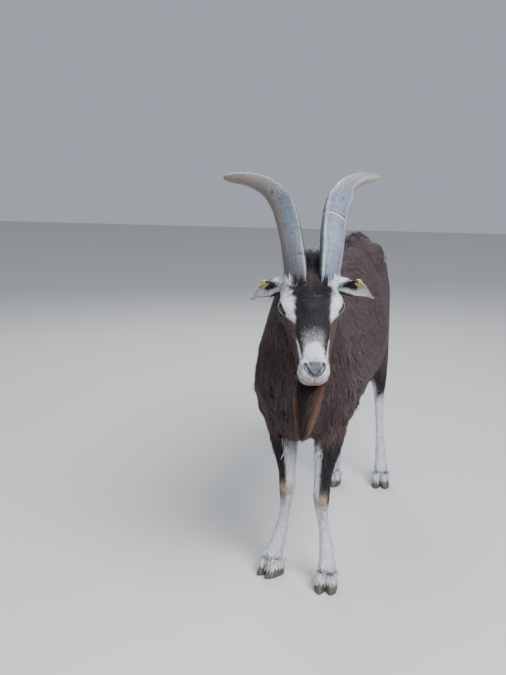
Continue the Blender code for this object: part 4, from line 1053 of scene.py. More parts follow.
def ear_mesh(side):
    """A drooping ear, rolled at its root and cupped along its middle, with a thin rim."""
    rows = []
    for share in np.linspace(EAR_SUNK, 0.995, EAR_STEPS):
        roll = np.linspace(-1, 1, EAR_SIDES)
        radius = float(ear_radius(share))
        turn = roll * ear_half_roll(share)
        inward = EAR_FACING * np.cos(turn)[:, None] - EAR_ACROSS * np.sin(turn)[:, None]
        sheet = ear_line(share) + EAR_FACING * radius - inward * radius
        thick = (0.0030 - 0.0012 * np.clip(share, 0, 1)) * (1 - 0.5 * roll ** 4)
        wave = 0.0006 * np.sin(share * 21 + roll * 2.5) * fade(0.2, 0.6, np.full(EAR_SIDES, share))
        front = sheet + inward * (thick / 2 + wave)[:, None]
        behind = sheet - inward * (thick / 2 - wave)[:, None]
        row = np.concatenate([front, behind[::-1]]) * np.array([side, 1, 1])
        rows.append(row + np.array([EAR_SWAY * share, 0, 0]))
    places = np.concatenate(rows)
    around = EAR_SIDES * 2
    faces = []
    for i in range(EAR_STEPS - 1):
        for j in range(around):
            a, b = i * around + j, i * around + (j + 1) % around
            faces.append((a, b, b + around, a + around))
    for i in (0, EAR_STEPS - 1):
        for j in range(EAR_SIDES - 1):
            a, b = i * around + j, i * around + around - 1 - j
            faces.append((a + 1, a, b, b - 1) if i == 0 else (a, a + 1, b - 1, b))
    return solid_mesh("ear", places, faces)


def with_ears(mesh):
    """The skin with both ears grown on, as one closed surface."""
    body = bpy.data.objects.new("skin", mesh)
    bpy.context.scene.collection.objects.link(body)
    ears = []
    for side in (-1, 1):
        ear = bpy.data.objects.new("ear", ear_mesh(side))
        bpy.context.scene.collection.objects.link(ear)
        ears.append(ear)
        union = body.modifiers.new("grown_on", "BOOLEAN")
        union.operation = "UNION"
        union.solver = "MANIFOLD"
        union.object = ear
    joined = evaluated_mesh(body)
    for ear in ears:
        bpy.data.objects.remove(ear)
    local = in_head(points_of(joined))
    local[:, 0] = np.abs(local[:, 0])
    near = fade(0.024, 0.016, np.linalg.norm(local - ear_line(0.0), axis=1))
    soften(joined, near, 4, push=0.0)
    return joined


def mark_piece(mesh):
    marks, finish = coat_marks(points_of(mesh), normals_of(mesh))
    add_colours(mesh, "marks", marks)
    add_colours(mesh, "finish", finish)


# The coat

class Coat:
    """A skin's triangles, ready to be sprinkled with hair."""

    def __init__(self, piece):
        mesh = piece.data
        self.points = points_of(mesh)
        self.normals = normals_of(mesh)
        self.corners, loops = triangles_of(mesh)
        uv = np.empty(len(mesh.loops) * 2)
        mesh.uv_layers["OFBake"].data.foreach_get("uv", uv)
        self.uv = uv.reshape(-1, 2)[loops]
        a, b, c = (self.points[self.corners[:, i]] for i in range(3))
        self.area = np.linalg.norm(np.cross(b - a, c - a), axis=1) / 2
        self.middle = (a + b + c) / 3
        self.tree = tree_of(mesh)

    def roots(self, weight, count):
        """Random roots, denser where weight is high: places, normals and map places."""
        chance = self.area * weight
        chosen = rng.choice(len(chance), size=count, p=chance / chance.sum())
        shares = rng.dirichlet((1.0, 1.0, 1.0), size=count)[:, :, None]
        corner = self.corners[chosen]
        places = (self.points[corner] * shares).sum(1)
        normals = unit((self.normals[corner] * shares).sum(1))
        return places, normals, (self.uv[chosen] * shares).sum(1)


def turned(ways, normals, angles):
    """Turns each way about its normal."""
    across = np.cross(normals, ways)
    return ways * np.cos(angles)[:, None] + across * np.sin(angles)[:, None]


def hair_paths(tree, roots, normals, ways, length, lift, steps, fall=0.0, wave=0.0, hug=True):
    """Lines of points from each root, kept off the skin, that fall and wave on their way."""
    count = len(roots)
    path = np.empty((count, steps + 1, 3))
    outs = np.empty((count, steps + 1, 3))
    path[:, 0] = roots - normals * 0.0012
    outs[:, 0] = normals
    spot, way, out = roots.copy(), ways.copy(), normals.copy()
    phase = rng.uniform(0, 2 * np.pi, count)
    side = np.cross(normals, ways)
    for i in range(1, steps + 1):
        share = i / steps
        way = unit(way + np.array([0, 0, -1.0]) * fall * share)
        spot = spot + way * (length / steps)[:, None]
        if hug:
            height = 0.0006 + lift * share
            flat = spot.tolist()
            for j in range(count):
                near, normal = tree.find_nearest(flat[j])[:2]
                out[j] = normal
                above = (spot[j] - np.array(near)) @ out[j]
                spot[j] += out[j] * (max(height[j], min(above, height[j] * 1.5 + 0.001)) - above)
            way = unit(way - out * (way * out).sum(1, keepdims=True) * 0.8)
        shift = wave * (np.sin(phase + share * 5.5) - np.sin(phase)) * length
        path[:, i] = spot + side * shift[:, None]
        outs[:, i] = out
    return path, outs


def tuft_mesh(name, path, outs, width, thick, marks, finish, chance, uv, soft=0.65):
    """Closed, tapered, three-sided tufts along paths, as one mesh with its masks and its map."""
    count, rings = path.shape[0], path.shape[1] - 1
    along = np.empty_like(path[:, :rings])
    along[:, 0] = path[:, 1] - path[:, 0]
    for i in range(1, rings):
        along[:, i] = path[:, i + 1] - path[:, i - 1]
    along = unit(along)
    out = unit(outs[:, :rings] - along * (outs[:, :rings] * along).sum(2, keepdims=True))
    across = np.cross(along, out)
    shares = np.arange(rings) / rings
    taper = np.where(shares == 0, 0.75, 1.0 - 0.62 * shares ** 1.6)[None, :, None]
    half = across * (width[:, None, None] * taper / 2)
    high = out * (thick[:, None, None] * taper)
    body = np.stack([path[:, :rings] - half, path[:, :rings] + half, path[:, :rings] + high], 2)
    per = rings * 3 + 1
    points = np.concatenate([body.reshape(count, rings * 3, 3), path[:, rings:]], 1).reshape(-1, 3)
    faces = [(0, 1, 2)]
    for r in range(rings - 1):
        for a, b in ((0, 1), (1, 2), (2, 0)):
            low, next_low = r * 3 + a, r * 3 + b
            faces += [(next_low, low, low + 3), (next_low, low + 3, next_low + 3)]
    last = (rings - 1) * 3
    faces += [(last + b, last + a, rings * 3) for a, b in ((0, 1), (1, 2), (2, 0))]
    faces = np.array(faces)
    index = (np.arange(count)[:, None, None] * per + faces[None]).reshape(-1)
    mesh = bpy.data.meshes.new(name)
    mesh.vertices.add(len(points))
    mesh.vertices.foreach_set("co", points.ravel())
    mesh.loops.add(len(index))
    mesh.loops.foreach_set("vertex_index", index)
    mesh.polygons.add(len(index) // 3)
    mesh.polygons.foreach_set("loop_start", np.arange(0, len(index), 3))
    mesh.update(calc_edges=True)
    smooth_shaded(mesh)
    level = np.append(np.repeat(shares, 3), 1.0)
    edge = np.append(np.tile([0.0, 1.0, 0.5], rings), 0.5)
    strand = np.stack([np.tile(level, count), np.repeat(chance, per), np.tile(edge, count)], 1)
    add_colours(mesh, "marks", np.repeat(marks, per, axis=0))
    add_colours(mesh, "finish", np.repeat(finish, per, axis=0))
    add_colours(mesh, "strand", strand)
    patch = np.stack([edge - 0.5, level - 0.5], 1) * 0.003
    spots = (uv[:, None, :] + patch[None]).reshape(-1, 2)
    layer = mesh.uv_layers.new(name="OFBake")
    layer.data.foreach_set("uv", spots[index].ravel())
    smooth_out = np.concatenate([outs[:, :rings].repeat(3, axis=1), outs[:, rings - 1:rings]], 1)
    smooth_out = smooth_out.reshape(-1, 3)
    own = normals_of(mesh)
    mesh.normals_split_custom_set_from_vertices(unit(own * (1 - soft) + smooth_out * soft))
    return mesh


COAT_PIECE_LIMIT = 185000


def grow(name, material, coat, weight, count, length, width, lift, steps, **ways):
    """Grows one kind of hair over a skin, in as many pieces as its size asks for."""
    tufts_each = COAT_PIECE_LIMIT // (6 * steps - 2)
    pieces = max(1, math.ceil(count / tufts_each))
    for number in range(pieces):
        share = count // pieces
        roots, normals, uv = coat.roots(weight, share)
        lie = ways.get("lie", lie_of)(roots, normals)
        way = turned(lie, normals, rng.normal(0, ways.get("scatter", 0.16), share))
        marks, finish = coat_marks(roots, normals)
        chance = rng.uniform(0, 1, share)
        long = length(roots) * rng.uniform(0.75, 1.25, share)
        raised = lift(roots) * rng.uniform(0.5, 1.5, share)
        path, outs = hair_paths(coat.tree, roots, normals, way, long, raised, steps,
                                ways.get("fall", 0.0), ways.get("wave", 0.0))
        path = keep_off_floor(path)
        wide = width(roots) * rng.uniform(0.75, 1.3, share)
        mesh = tuft_mesh(name, path, outs, wide, wide * 0.32, marks, finish, chance, uv)
        label = f"{name}_{number + 1}" if pieces > 1 else name
        new_piece(label, mesh, material)


def keep_off_floor(path):
    path[:, :, 2] = np.maximum(path[:, :, 2], 0.003)
    return path


def steady(value):
    return lambda points: np.full(len(points), value)


def eye_distance(points):
    """How far points lie from the slit between the lids."""
    u, v, w = eye_places(points).T
    beside = np.maximum(np.abs(u) - SLIT_HALF_LENGTH, 0)
    above = np.maximum(np.abs(v) - 0.003, 0)
    return np.hypot(beside, above) + 9.0 * (w < -0.005)


def face_length(points):
    local = in_head(points)
    length = 0.0052 + 0.0070 * fade(-0.05, 0.07, local[:, 1])
    return length * (0.35 + 0.65 * fade(0.003, 0.016, eye_distance(points)))


def forelock_lie(points, normals):
    """Hair between the horns falls over the forehead, away from the middle."""
    local = in_head(points)
    way = np.stack([0.75 * np.sign(local[:, 0]), -np.ones(len(local)), np.zeros(len(local))], 1) @ HEAD_AXES.T
    return unit(way - normals * (way * normals).sum(1, keepdims=True))


def grow_coat(skin, material):
    coat = Coat(skin)
    spots = coat.middle
    corner_normals = unit(coat.normals[coat.corners].sum(1))
    head = head_share(spots)
    bare = bare_skin(spots)[0]
    local = in_head(spots)
    stance = in_stance(spots)
    x, y, z = stance.T
    long = long_share(spots)
    legs = fade(0.36, 0.30, z)
    tail = tail_share(stance)
    on_ear = ear_places(spots, corner_normals)[3]
    covered = (1 - head) * (1 - legs) * (1 - tail)
    back = fade(0.040, 0.020, np.abs(x - CENTRE_X)) * fade(0.72, 0.78, z) * fade(-0.22, -0.15, y) * (1 - head)
    mane = fade(0.050, 0.025, np.abs(x - CENTRE_X - 0.012)) * fade(0.70, 0.74, z)
    mane = mane * fade(-0.12, -0.08, y) * fade(0.15, 0.10, y) * (1 - head)
    crest = fade(0.026, 0.014, np.abs(local[:, 0])) * fade(0.070, 0.085, local[:, 1])
    crest = crest * fade(0.19, 0.15, local[:, 1]) * (local[:, 2] > -0.02)

    face = head * (1 - fade(0.10, 0.35, bare)) * ~on_ear
    grow("coat_face", material, coat, face * (0.7 + 1.5 * fade(0.02, -0.06, local[:, 1])), 35000,
         face_length, steady(0.00085), lambda p: 0.0003 + 0.0008 * fade(-0.02, 0.06, in_head(p)[:, 1]), 2,
         scatter=0.20)
    grow("coat_ears", material, coat, on_ear * head, 7000, steady(0.0085), steady(0.0011), steady(0.0007), 2,
         scatter=0.22)
    tuft = head * (np.abs(local[:, 0]) < 0.040) * fade(0.020, 0.030, local[:, 1])
    tuft = tuft * fade(0.085, 0.075, local[:, 1]) * (local[:, 2] > 0)
    grow("coat_forelock", material, coat, tuft, 420, steady(0.019), steady(0.0015), steady(0.0032), 3,
         scatter=0.25, wave=0.05, lie=forelock_lie)
    grow("coat_crest", material, coat, crest, 600, steady(0.036), steady(0.0017), steady(0.021), 4,
         scatter=0.40, wave=0.05)
    grow("coat_legs", material, coat, (1 - head) * legs, 15000,
         lambda p: 0.0090 + 0.006 * fade(0.2, 0.34, in_stance(p)[:, 2]), steady(0.0013), steady(0.0007), 2)
    grow("coat_pasterns", material, coat, fade(0.075, 0.060, z), 2800, steady(0.026), steady(0.0015),
         steady(0.0026), 3, scatter=0.18)
    grow("coat_body", material, coat, covered * (1 - 0.85 * long), 31500,
         lambda p: 0.0260 + 0.008 * fade(0.70, 0.78, in_stance(p)[:, 2]), steady(0.0020), steady(0.0017), 2,
         scatter=0.17)
    grow("coat_neck_chest", material, coat, covered * long, 14500, steady(0.040), steady(0.0023),
         steady(0.0042), 4, scatter=0.22, fall=0.22, wave=0.050)
    grow("coat_back", material, coat, back, 1500, steady(0.042), steady(0.0018), steady(0.0065), 3,
         scatter=0.20, wave=0.030)
    grow("coat_mane", material, coat, mane, 800, steady(0.052), steady(0.0019), steady(0.014), 4,
         scatter=0.25, wave=0.030)
    grow("coat_tail", material, coat, tail, 1100, steady(0.032), steady(0.0018), steady(0.0022), 4,
         scatter=0.18, fall=0.25, wave=0.040)
    grow_collars(material, coat)
    grow_beard(material, coat)
    return coat


COLLAR_TUFTS = 420


def grow_collars(material, coat):
    """Short face hair that runs up over the roots of the horns."""
    count, steps = COLLAR_TUFTS, 4
    for side, word in SIDES:
        start = rng.uniform(0.030, 0.080, count)
        turn = rng.uniform(-0.7, math.pi + 0.6, count)
        reach = rng.uniform(0.6, 1.15, count) * 0.024 / HORN_LENGTH
        drift = rng.normal(0, 0.14, count)
        path = np.empty((count, steps + 1, 3))
        outs = np.empty((count, steps + 1, 3))
        for i in range(steps + 1):
            share = i / steps
            middle, section = horn_section(side, start + reach * share, turn + drift * share)
            out = unit(section)
            path[:, i] = from_head(middle + section + out * (0.0012 * math.sin(math.pi * share) + 0.0004))
            outs[:, i] = out @ HEAD_AXES.T
        marks, finish = coat_marks(path[:, 0], outs[:, 0])
        near = peak(np.linalg.norm(coat.middle - path[:, 0].mean(0), axis=1), 0.0, 0.02)
        _, _, uv = coat.roots(near, count)
        wide = rng.uniform(0.0009, 0.0016, count)
        mesh = tuft_mesh("coat_collar_" + word, path, outs, wide, wide * 0.4, marks, finish,
                         rng.uniform(0, 1, count), uv)
        new_piece("coat_collar_" + word, mesh, material)


BEARD_STRANDS = 2300


def grow_beard(material, coat):
    """Long wavy hair from under the chin that gathers to a point, dark within and rust outside."""
    count, steps = BEARD_STRANDS, 6
    turn = rng.uniform(0, 2 * np.pi, count)
    reach = np.sqrt(rng.uniform(0, 1, count))
    around = np.stack([np.cos(turn) * 0.028, np.sin(turn) * 0.014, np.zeros(count)], 1) * reach[:, None]
    root = BEARD_ROOT + around * 0.80 + np.array([0, 0, 0.006]) * rng.uniform(-1, 1, (count, 1))
    shorter = rng.uniform(0, 1, count) ** 1.6 * (0.020 + 0.060 * reach)
    wisp = rng.integers(0, 11, count)
    wisp_turn, wisp_reach = wisp * 2.4, 0.0030 * wisp ** 0.5
    gathered = np.stack([np.cos(wisp_turn) * wisp_reach,
                         0.5 * np.sin(wisp_turn) * wisp_reach,
                         0.0035 * wisp], 1)
    tip = BEARD_TIP + gathered + around * rng.uniform(0.05, 0.34, (count, 1))
    tip = tip + np.array([0, 0, 1.0]) * shorter[:, None]
    path = np.empty((count, steps + 1, 3))
    outward = unit(around + np.array([1e-5, -1e-5, 0]))
    phase = rng.uniform(0, 2 * np.pi, count)
    for i, share in enumerate(np.linspace(0, 1, steps + 1)):
        bulge = 0.55 * math.sin(math.pi * share) * (1 - 0.5 * share)
        sway = (np.sin(phase + share * 7.0) - np.sin(phase)) * 0.0022 * share
        side = np.cross(outward, np.array([0, 0, 1.0]))
        path[:, i] = root + (tip - root) * share + around * bulge + side * sway[:, None]
    path -= SHIFT
    outs = np.repeat(outward[:, None], steps + 1, 1)
    lateral = np.abs(around[:, 0]) / 0.028 + rng.normal(0, 0.13, count)
    outer = fade(0.50, 0.95, lateral) + 0.55 * fade(0.022, 0.0, shorter) * rng.uniform(0, 1, count)
    outer = np.clip(outer, 0, 1)
    marks = np.stack([np.zeros(count), 0.97 * (1 - outer), 0.15 + 0.60 * outer], 1)
    finish = np.zeros((count, 3))
    near = fade(0.03, 0.01, np.linalg.norm(coat.middle - (BEARD_ROOT - SHIFT), axis=1))
    _, _, uv = coat.roots(near, count)
    wide = rng.uniform(0.0007, 0.0014, count)
    mesh = tuft_mesh("coat_beard", path, outs, wide, wide * 0.4, marks, finish,
                     rng.uniform(0, 1, count), uv, soft=0.3)
    new_piece("coat_beard", mesh, material)


def skin_and_coat():
    mesh = refine_face(skin_form())
    shape_skin(mesh)
    carve_face(mesh)
    mesh = with_ears(mesh)
    open_lids(mesh)
    mark_piece(mesh)
    smooth_shaded(mesh)
    skin = new_piece("skin", mesh, skin_material(), [*FLESH_NODES, "ear_left", "ear_right"])
    unwrap(skin)
    material = coat_material()
    coat = grow_coat(skin, material)
    return coat, material


# Horns

HORN_PATH = np.array([
    (0.0335, 0.052, -0.012), (0.0345, 0.071, 0.015), (0.038, 0.106, 0.030),
    (0.043, 0.151, 0.035), (0.053, 0.212, 0.029), (0.064, 0.249, 0.017),
    (0.083, 0.292, -0.003), (0.123, 0.335, -0.031), (0.174, 0.372, -0.074),
])
HORN_STEPS = 250
HORN_SIDES = 72
HORN_FORM = {1: (0.0215, 0.20), -1: (0.0238, -0.04)}
HORN_DEPTH = 1.38
HORN_LEAN = 0.0075
HORN_SHIFT = 0.0040
BEND_PLACE = 0.64
BEND_REACH = 0.15
BEND_SWELL = 0.16
KEEL_TURN = math.radians(128)
FLAT_TURN = math.radians(60)
HORN_LENGTH = 0.43
RING_SPACING = 0.0058
YEAR_GROOVES = (0.235, 0.40, 0.545, 0.67, 0.785)


def curve_through(points, times):
    """Places on a smooth curve through all of the points, for times from 0 to 1."""
    spans = times * (len(points) - 1)
    i = np.minimum(spans.astype(int), len(points) - 2)
    f = (spans - i)[:, None]
    p0, p1 = points[np.maximum(i - 1, 0)], points[i]
    p2, p3 = points[i + 1], points[np.minimum(i + 2, len(points) - 1)]
    return 0.5 * (2 * p1 + (p2 - p0) * f + (2 * p0 - 5 * p1 + 4 * p2 - p3) * f * f
                  + (3 * p1 - p0 - 3 * p2 + p3) * f ** 3)


def horn_bend(side, t):
    """How near places on the left horn are to its bend. The right horn has none."""
    return peak(t, BEND_PLACE, BEND_REACH) * (side > 0)


def horn_width(side, t):
    base, fuller = HORN_FORM[side]
    swell = 1.0 + fuller * np.sin(np.pi * np.minimum(1.0, t / 0.85)) ** 2
    swell = swell * (1.0 + BEND_SWELL * horn_bend(side, t))
    taper = 1.0 - 0.62 * np.maximum(0.0, (t - 0.45) / 0.55) ** 1.3
    tip = np.sqrt(np.maximum(0.0, 1.0 - np.maximum(0.0, (t - 0.93) / 0.075) ** 2))
    return base * swell * taper * tip


def horn_lean(side, t):
    """How far a horn leans to the goat's left: the left horn further, most of all at its bend."""
    if side < 0:
        return HORN_SHIFT
    return HORN_LEAN * (np.minimum(1.0, 0.35 + 2.2 * t) * (1.0 - 0.5 * t) + horn_bend(side, t))


def horn_section(side, t, turn):
    """A horn's middle at each time, and from there to its surface at each turn about it."""
    times = np.linspace(0, 1, HORN_STEPS + 1)
    line = curve_through(HORN_PATH * np.array([side, 1, 1]), times)
    line[:, 0] += horn_lean(side, times)
    along = unit(np.gradient(line, axis=0))
    outward = unit(np.array([side, 0, 0]) - along * (along[:, :1] * side))
    front = np.cross(outward, along) * side
    middle, out, ahead = (np.stack([np.interp(t, times, part[:, k]) for k in range(3)], -1)
                          for part in (line, outward, front))
    wide = horn_width(side, t)
    deep = wide * HORN_DEPTH * (1.0 - 0.25 * t)
    keel = 0.20 * np.maximum(0.0, np.cos(turn - KEEL_TURN)) ** 6
    flat = 1.0 - 0.10 * np.maximum(0.0, np.cos(turn - FLAT_TURN)) ** 2
    section = out * (np.cos(turn) * wide)[..., None] + ahead * (np.sin(turn) * deep)[..., None]
    return middle, section * (flat + keel)[..., None]


HORN_PITS = ((-1, 0.648, 0.80, 0.0045), (1, 0.648, 1.05, 0.0026), (1, 0.532, 1.13, 0.0022))
BROKEN_RING = {1: 0.440, -1: 0.222}


def horn_relief(t, turn, side):
    """Oblique fine rings near the base, deeper year grooves, fibres, and a few pits and nicks."""
    slant = t * HORN_LENGTH / RING_SPACING + 0.75 * np.sin(turn + 0.6) + 0.35 * np.sin(2 * turn + 7 * t)
    ring = np.abs((slant % 1.0) - 0.5) * 2
    rings = -0.00075 * ring ** 3 * (0.25 + 0.75 * fade(0.62, 0.10, t)) * fade(0.92, 0.80, t)
    years = 0.0
    for place in YEAR_GROOVES:
        winding = t + 0.006 * np.sin(turn * 2 + place * 31) + 0.004 * np.cos(turn)
        years = years - 0.0004 * peak(winding, place, 0.0042)
    fibres = 0.00022 * np.sin(turn * 19 + 3 * np.sin(t * 13)) + 0.00016 * np.sin(turn * 31 + 5 * t)
    pits = 0.0
    for mine, place, angle, depth in HORN_PITS:
        if mine == side:
            far = ((t - place) * HORN_LENGTH) ** 2 + ((turn - angle) * 0.022) ** 2
            pits = pits - depth * np.exp(-far / (0.9 * depth) ** 2)
    keel = fade(0.5, 0.2, np.abs(turn - KEEL_TURN))
    nicks = -0.0012 * keel * np.maximum(0, np.sin(t * 83 + side) * np.sin(t * 47) - 0.45)
    ridge = 0.0016 * fade(0.17, 0.02, np.abs(turn - KEEL_TURN)) * fade(0.80, 0.55, t)
    groove = -0.0014 * peak(t + 0.004 * np.cos(turn), BROKEN_RING[side], 0.0034)
    if side < 0:
        groove = groove * fade(1.35, 1.65, turn) * fade(4.4, 3.8, turn)
    return rings + years + fibres * fade(1.0, 0.9, t) + pits + nicks + ridge + groove


def horn_mesh(side):
    """A scimitar horn on the solid's own path and section, with its relief."""
    turn = np.linspace(0, 2 * np.pi, HORN_SIDES, endpoint=False)
    t, angle = np.meshgrid(np.linspace(0, 1, HORN_STEPS + 1), turn, indexing="ij")
    middles, section = horn_section(side, t, angle)
    section += unit(section) * (horn_relief(t, angle, side) * fade(1.0, 0.94, t))[:, :, None]
    rows = (middles + section).reshape(-1, 3)
    count = HORN_SIDES
    faces = []
    for i in range(HORN_STEPS):
        for j in range(count):
            a, b = i * count + j, i * count + (j + 1) % count
            faces.append((a, b, b + count, a + count))
    faces.append(tuple(range(count))[::-1])
    faces.append(tuple(HORN_STEPS * count + j for j in range(count)))
    mesh = solid_mesh("horn", rows, faces)
    smooth_shaded(mesh)
    place = np.stack([np.cos(angle) * 0.5 + 0.5, np.sin(angle) * 0.5 + 0.5, t], 2).reshape(-1, 3)
    add_colours(mesh, "horn_place", place)
    outer = fade(0.9, 0.3, np.abs(angle - math.radians(20)))
    outer = outer + fade(0.9, 0.3, np.abs(angle - math.radians(360)))
    # Painted light: the left horn is painted lighter and the right horn darker.
    painted_light_share = np.full(t.shape, 0.0 if side < 0 else 0.9)
    # Painted highlight along the keel, and on the left horn also along its outer side.
    keel_highlight = 0.45 * fade(0.08, 0.03, np.abs(angle - KEEL_TURN))
    if side > 0:
        side_highlight = 0.28 * fade(0.34, 0.12, np.abs(angle - 0.30))
        keel_highlight = np.maximum(0.55 * fade(0.15, 0.06, np.abs(angle - KEEL_TURN)), side_highlight)
    shade = np.stack([painted_light_share, keel_highlight, np.clip(outer * (0.2 if side > 0 else 1.0), 0, 1)], 2).reshape(-1, 3)
    add_colours(mesh, "horn_light_and_edge", shade)
    # Painted shade in the grooves and pits, a pale lip at the broken ring, and painted shade on the inner
    # face.
    groove_shade = np.clip(-horn_relief(t, angle, side) / 0.0016, 0, 1)
    lip = 0.8 * peak(t + 0.004 * np.cos(angle), BROKEN_RING[side] - 0.009, 0.0024) * (side > 0)
    inner = fade(KEEL_TURN + 0.10, KEEL_TURN + 0.35, angle) * fade(4.6, 4.0, angle)
    add_colours(mesh, "horn_shade_and_lip", np.stack([groove_shade, lip, inner], 2).reshape(-1, 3))
    return mesh


def horn_material():
    """Grey horn: long pale and dark fibres, darker rings, brown on its edges, most of all on the right horn.
    Painted light: the left horn is painted paler and bluer and the right horn darker, most of all at its
    base; painted highlights run along both keels and the left horn's outer side; painted shade lies in the
    grooves and pits and on the inner faces.
    """
    material, tree, shader = new_material("horn", specular_ior_level=0.45)
    place = attribute(tree, "horn_place", "Vector")
    along = separate(tree, attribute(tree, "horn_place"))[2]
    painted_light, keel, outer = separate(tree, attribute(tree, "horn_light_and_edge"))[:3]
    groove_shade, lip, inner = separate(tree, attribute(tree, "horn_shade_and_lip"))[:3]
    fibres = noise(tree, 9.0, 6.0, place, (9.0, 9.0, 0.9), 0.7)
    fine = noise(tree, 30.0, 4.0, place, (12.0, 12.0, 1.2), 0.7)
    rings = noise(tree, 6.0, 4.0, place, (0.5, 0.5, 16.0), 0.6)
    blotch = noise(tree, 26.0, 4.0)
    grain = place_group(tree, fine_grain, Scale=700.0)
    shade = mix(tree, remap(tree, fibres, 0.38, 0.62), (0.036, 0.041, 0.054), (0.21, 0.245, 0.31))
    shade = mix(tree, remap(tree, rings, 0.44, 0.66, 0.0, 0.70), shade, (0.055, 0.052, 0.054))
    # Pale blue fibres, stronger on the left horn as painted light.
    pale = times(tree, remap(tree, fine, 0.46, 0.66), remap(tree, painted_light, 0.3, 1.0, 0.32, 0.95))
    shade = mix(tree, pale, shade, (0.36, 0.46, 0.64))
    tip_shade = mix(tree, fibres, (0.20, 0.16, 0.125), (0.46, 0.42, 0.37))
    shade = mix(tree, remap(tree, along, 0.55, 0.92, 0.0, 0.80), shade, tip_shade)
    # Painted shade: the right horn is darker overall.
    shade = mix(tree, 1.0, shade, grey(tree, remap(tree, painted_light, 0.0, 1.0, 0.66, 1.0)), "MULTIPLY")
    edge = times(tree, outer, remap(tree, blotch, 0.30, 0.60, 0.35, 0.9))
    shade = mix(tree, edge, shade, (0.17, 0.13, 0.10))
    # Painted shade on the inner face.
    shade = mix(tree, times(tree, inner, 0.75), shade, (0.085, 0.070, 0.060))
    # Painted shade: the right horn is darker towards its base.
    base = times(tree, remap(tree, along, 0.34, 0.08), arithmetic(tree, "SUBTRACT", 1.0, painted_light))
    shade = mix(tree, times(tree, base, 0.85), shade, (0.055, 0.052, 0.055))
    # Painted shade in the grooves and pits.
    shade = mix(tree, times(tree, groove_shade, 0.80), shade, (0.030, 0.027, 0.026))
    # Painted highlight along the keels and the left horn's outer side, broken up by blotches, joined with the
    # pale lip of the broken ring.
    worn = times(tree, keel, remap(tree, blotch, 0.35, 0.60, 0.25, 0.95))
    shade = mix(tree, arithmetic(tree, "MAXIMUM", worn, lip), shade, (0.66, 0.65, 0.63))
    shade = mix(tree, remap(tree, grain.outputs["Mask"], 0.58, 0.75, 0.0, 0.35), shade, (0.10, 0.09, 0.08))
    link(tree, shade, shader.inputs["Base Color"])
    link(tree, remap(tree, fine, 0.3, 0.7, 0.34, 0.58), shader.inputs["Roughness"])
    height = arithmetic(tree, "ADD", fibres, times(tree, fine, 0.6))
    height = arithmetic(tree, "ADD", height, times(tree, rings, 0.5))
    link(tree, bump(tree, height, 0.6, 0.0009), shader.inputs["Normal"])
    return material


def make_horns():
    material = horn_material()
    for side, word in SIDES:
        new_piece("horn_shell_" + word, horn_mesh(side), material, ["horn_" + word])


# Eyes

def eye_mesh(side):
    """An eyeball with a slightly raised cornea, which knows where its pupil looks."""
    centre, axes = eye_frame(side)
    aim = axes[:, 2]
    level = unit(np.cross(aim, np.array([0, 0, 1.0])))
    frame_axes = np.stack([level, np.cross(aim, level), aim], 1)
    form = bmesh.new()
    bmesh.ops.create_uvsphere(form, u_segments=72, v_segments=48, radius=EYE_RADIUS - 0.0002)
    local = np.array([vert.co for vert in form.verts])
    radial = np.hypot(local[:, 0], local[:, 1])
    bulge = 0.0007 * fade(0.0085, 0.004, radial) * (local[:, 2] > 0)
    local = local * (1 + bulge / EYE_RADIUS)[:, None]
    for vert, spot in zip(form.verts, local @ frame_axes.T + centre):
        vert.co = spot
    bmesh.ops.recalc_face_normals(form, faces=form.faces)
    mesh = bpy.data.meshes.new("eye")
    form.to_mesh(mesh)
    form.free()
    smooth_shaded(mesh)
    add_colours(mesh, "eye_place", local / EYE_RADIUS * 0.5 + 0.5)
    return mesh


def eye_material():
    """A dark amber iris with a level slot of a pupil and a darker ring, under a wet film. The eyeball about
    the iris is near black, partly its own dark colour and partly painted shade under the lids.
    """
    material, tree, shader = new_material("eye", roughness=0.12, coat_weight=0.35, coat_roughness=0.05,
                                          specular_ior_level=0.30)
    across, up = separate(tree, attribute(tree, "eye_place"))[:2]
    across = remap(tree, across, 0.0, 1.0, -1.0, 1.0)
    up = remap(tree, up, 0.0, 1.0, -1.0, 1.0)
    radial = arithmetic(tree, "SQRT", arithmetic(tree, "ADD", times(tree, across, across),
                                                 times(tree, up, up)))
    wide = arithmetic(tree, "ABSOLUTE", arithmetic(tree, "DIVIDE", across, 0.36))
    wide = arithmetic(tree, "POWER", wide, 4.0)
    high = arithmetic(tree, "ABSOLUTE", arithmetic(tree, "DIVIDE", up, 0.155))
    high = arithmetic(tree, "POWER", high, 4.0)
    pupil = remap(tree, arithmetic(tree, "ADD", wide, high), 1.25, 0.75)
    rays = noise(tree, 14.0, 5.0, attribute(tree, "eye_place", "Vector"), (1.0, 3.0, 1.0), 0.7)
    iris = mix(tree, remap(tree, rays, 0.35, 0.65), (0.010, 0.006, 0.004), (0.042, 0.022, 0.009))
    # The iris rim and the eyeball beyond it are near black, partly as painted shade under the lids.
    iris = mix(tree, remap(tree, radial, 0.40, 0.58), iris, (0.008, 0.006, 0.005))
    eye = mix(tree, remap(tree, radial, 0.62, 0.68), iris, (0.006, 0.005, 0.005))
    eye = mix(tree, pupil, eye, (0.004, 0.004, 0.005))
    link(tree, eye, shader.inputs["Base Color"])
    link(tree, remap(tree, rays, 0.3, 0.7, 0.05, 0.14), shader.inputs["Roughness"])
    return material


def make_eyes():
    material = eye_material()
    for side, word in SIDES:
        new_piece("eyeball_" + word, eye_mesh(side), material, ["eye_" + word])


# Claws and ear tags

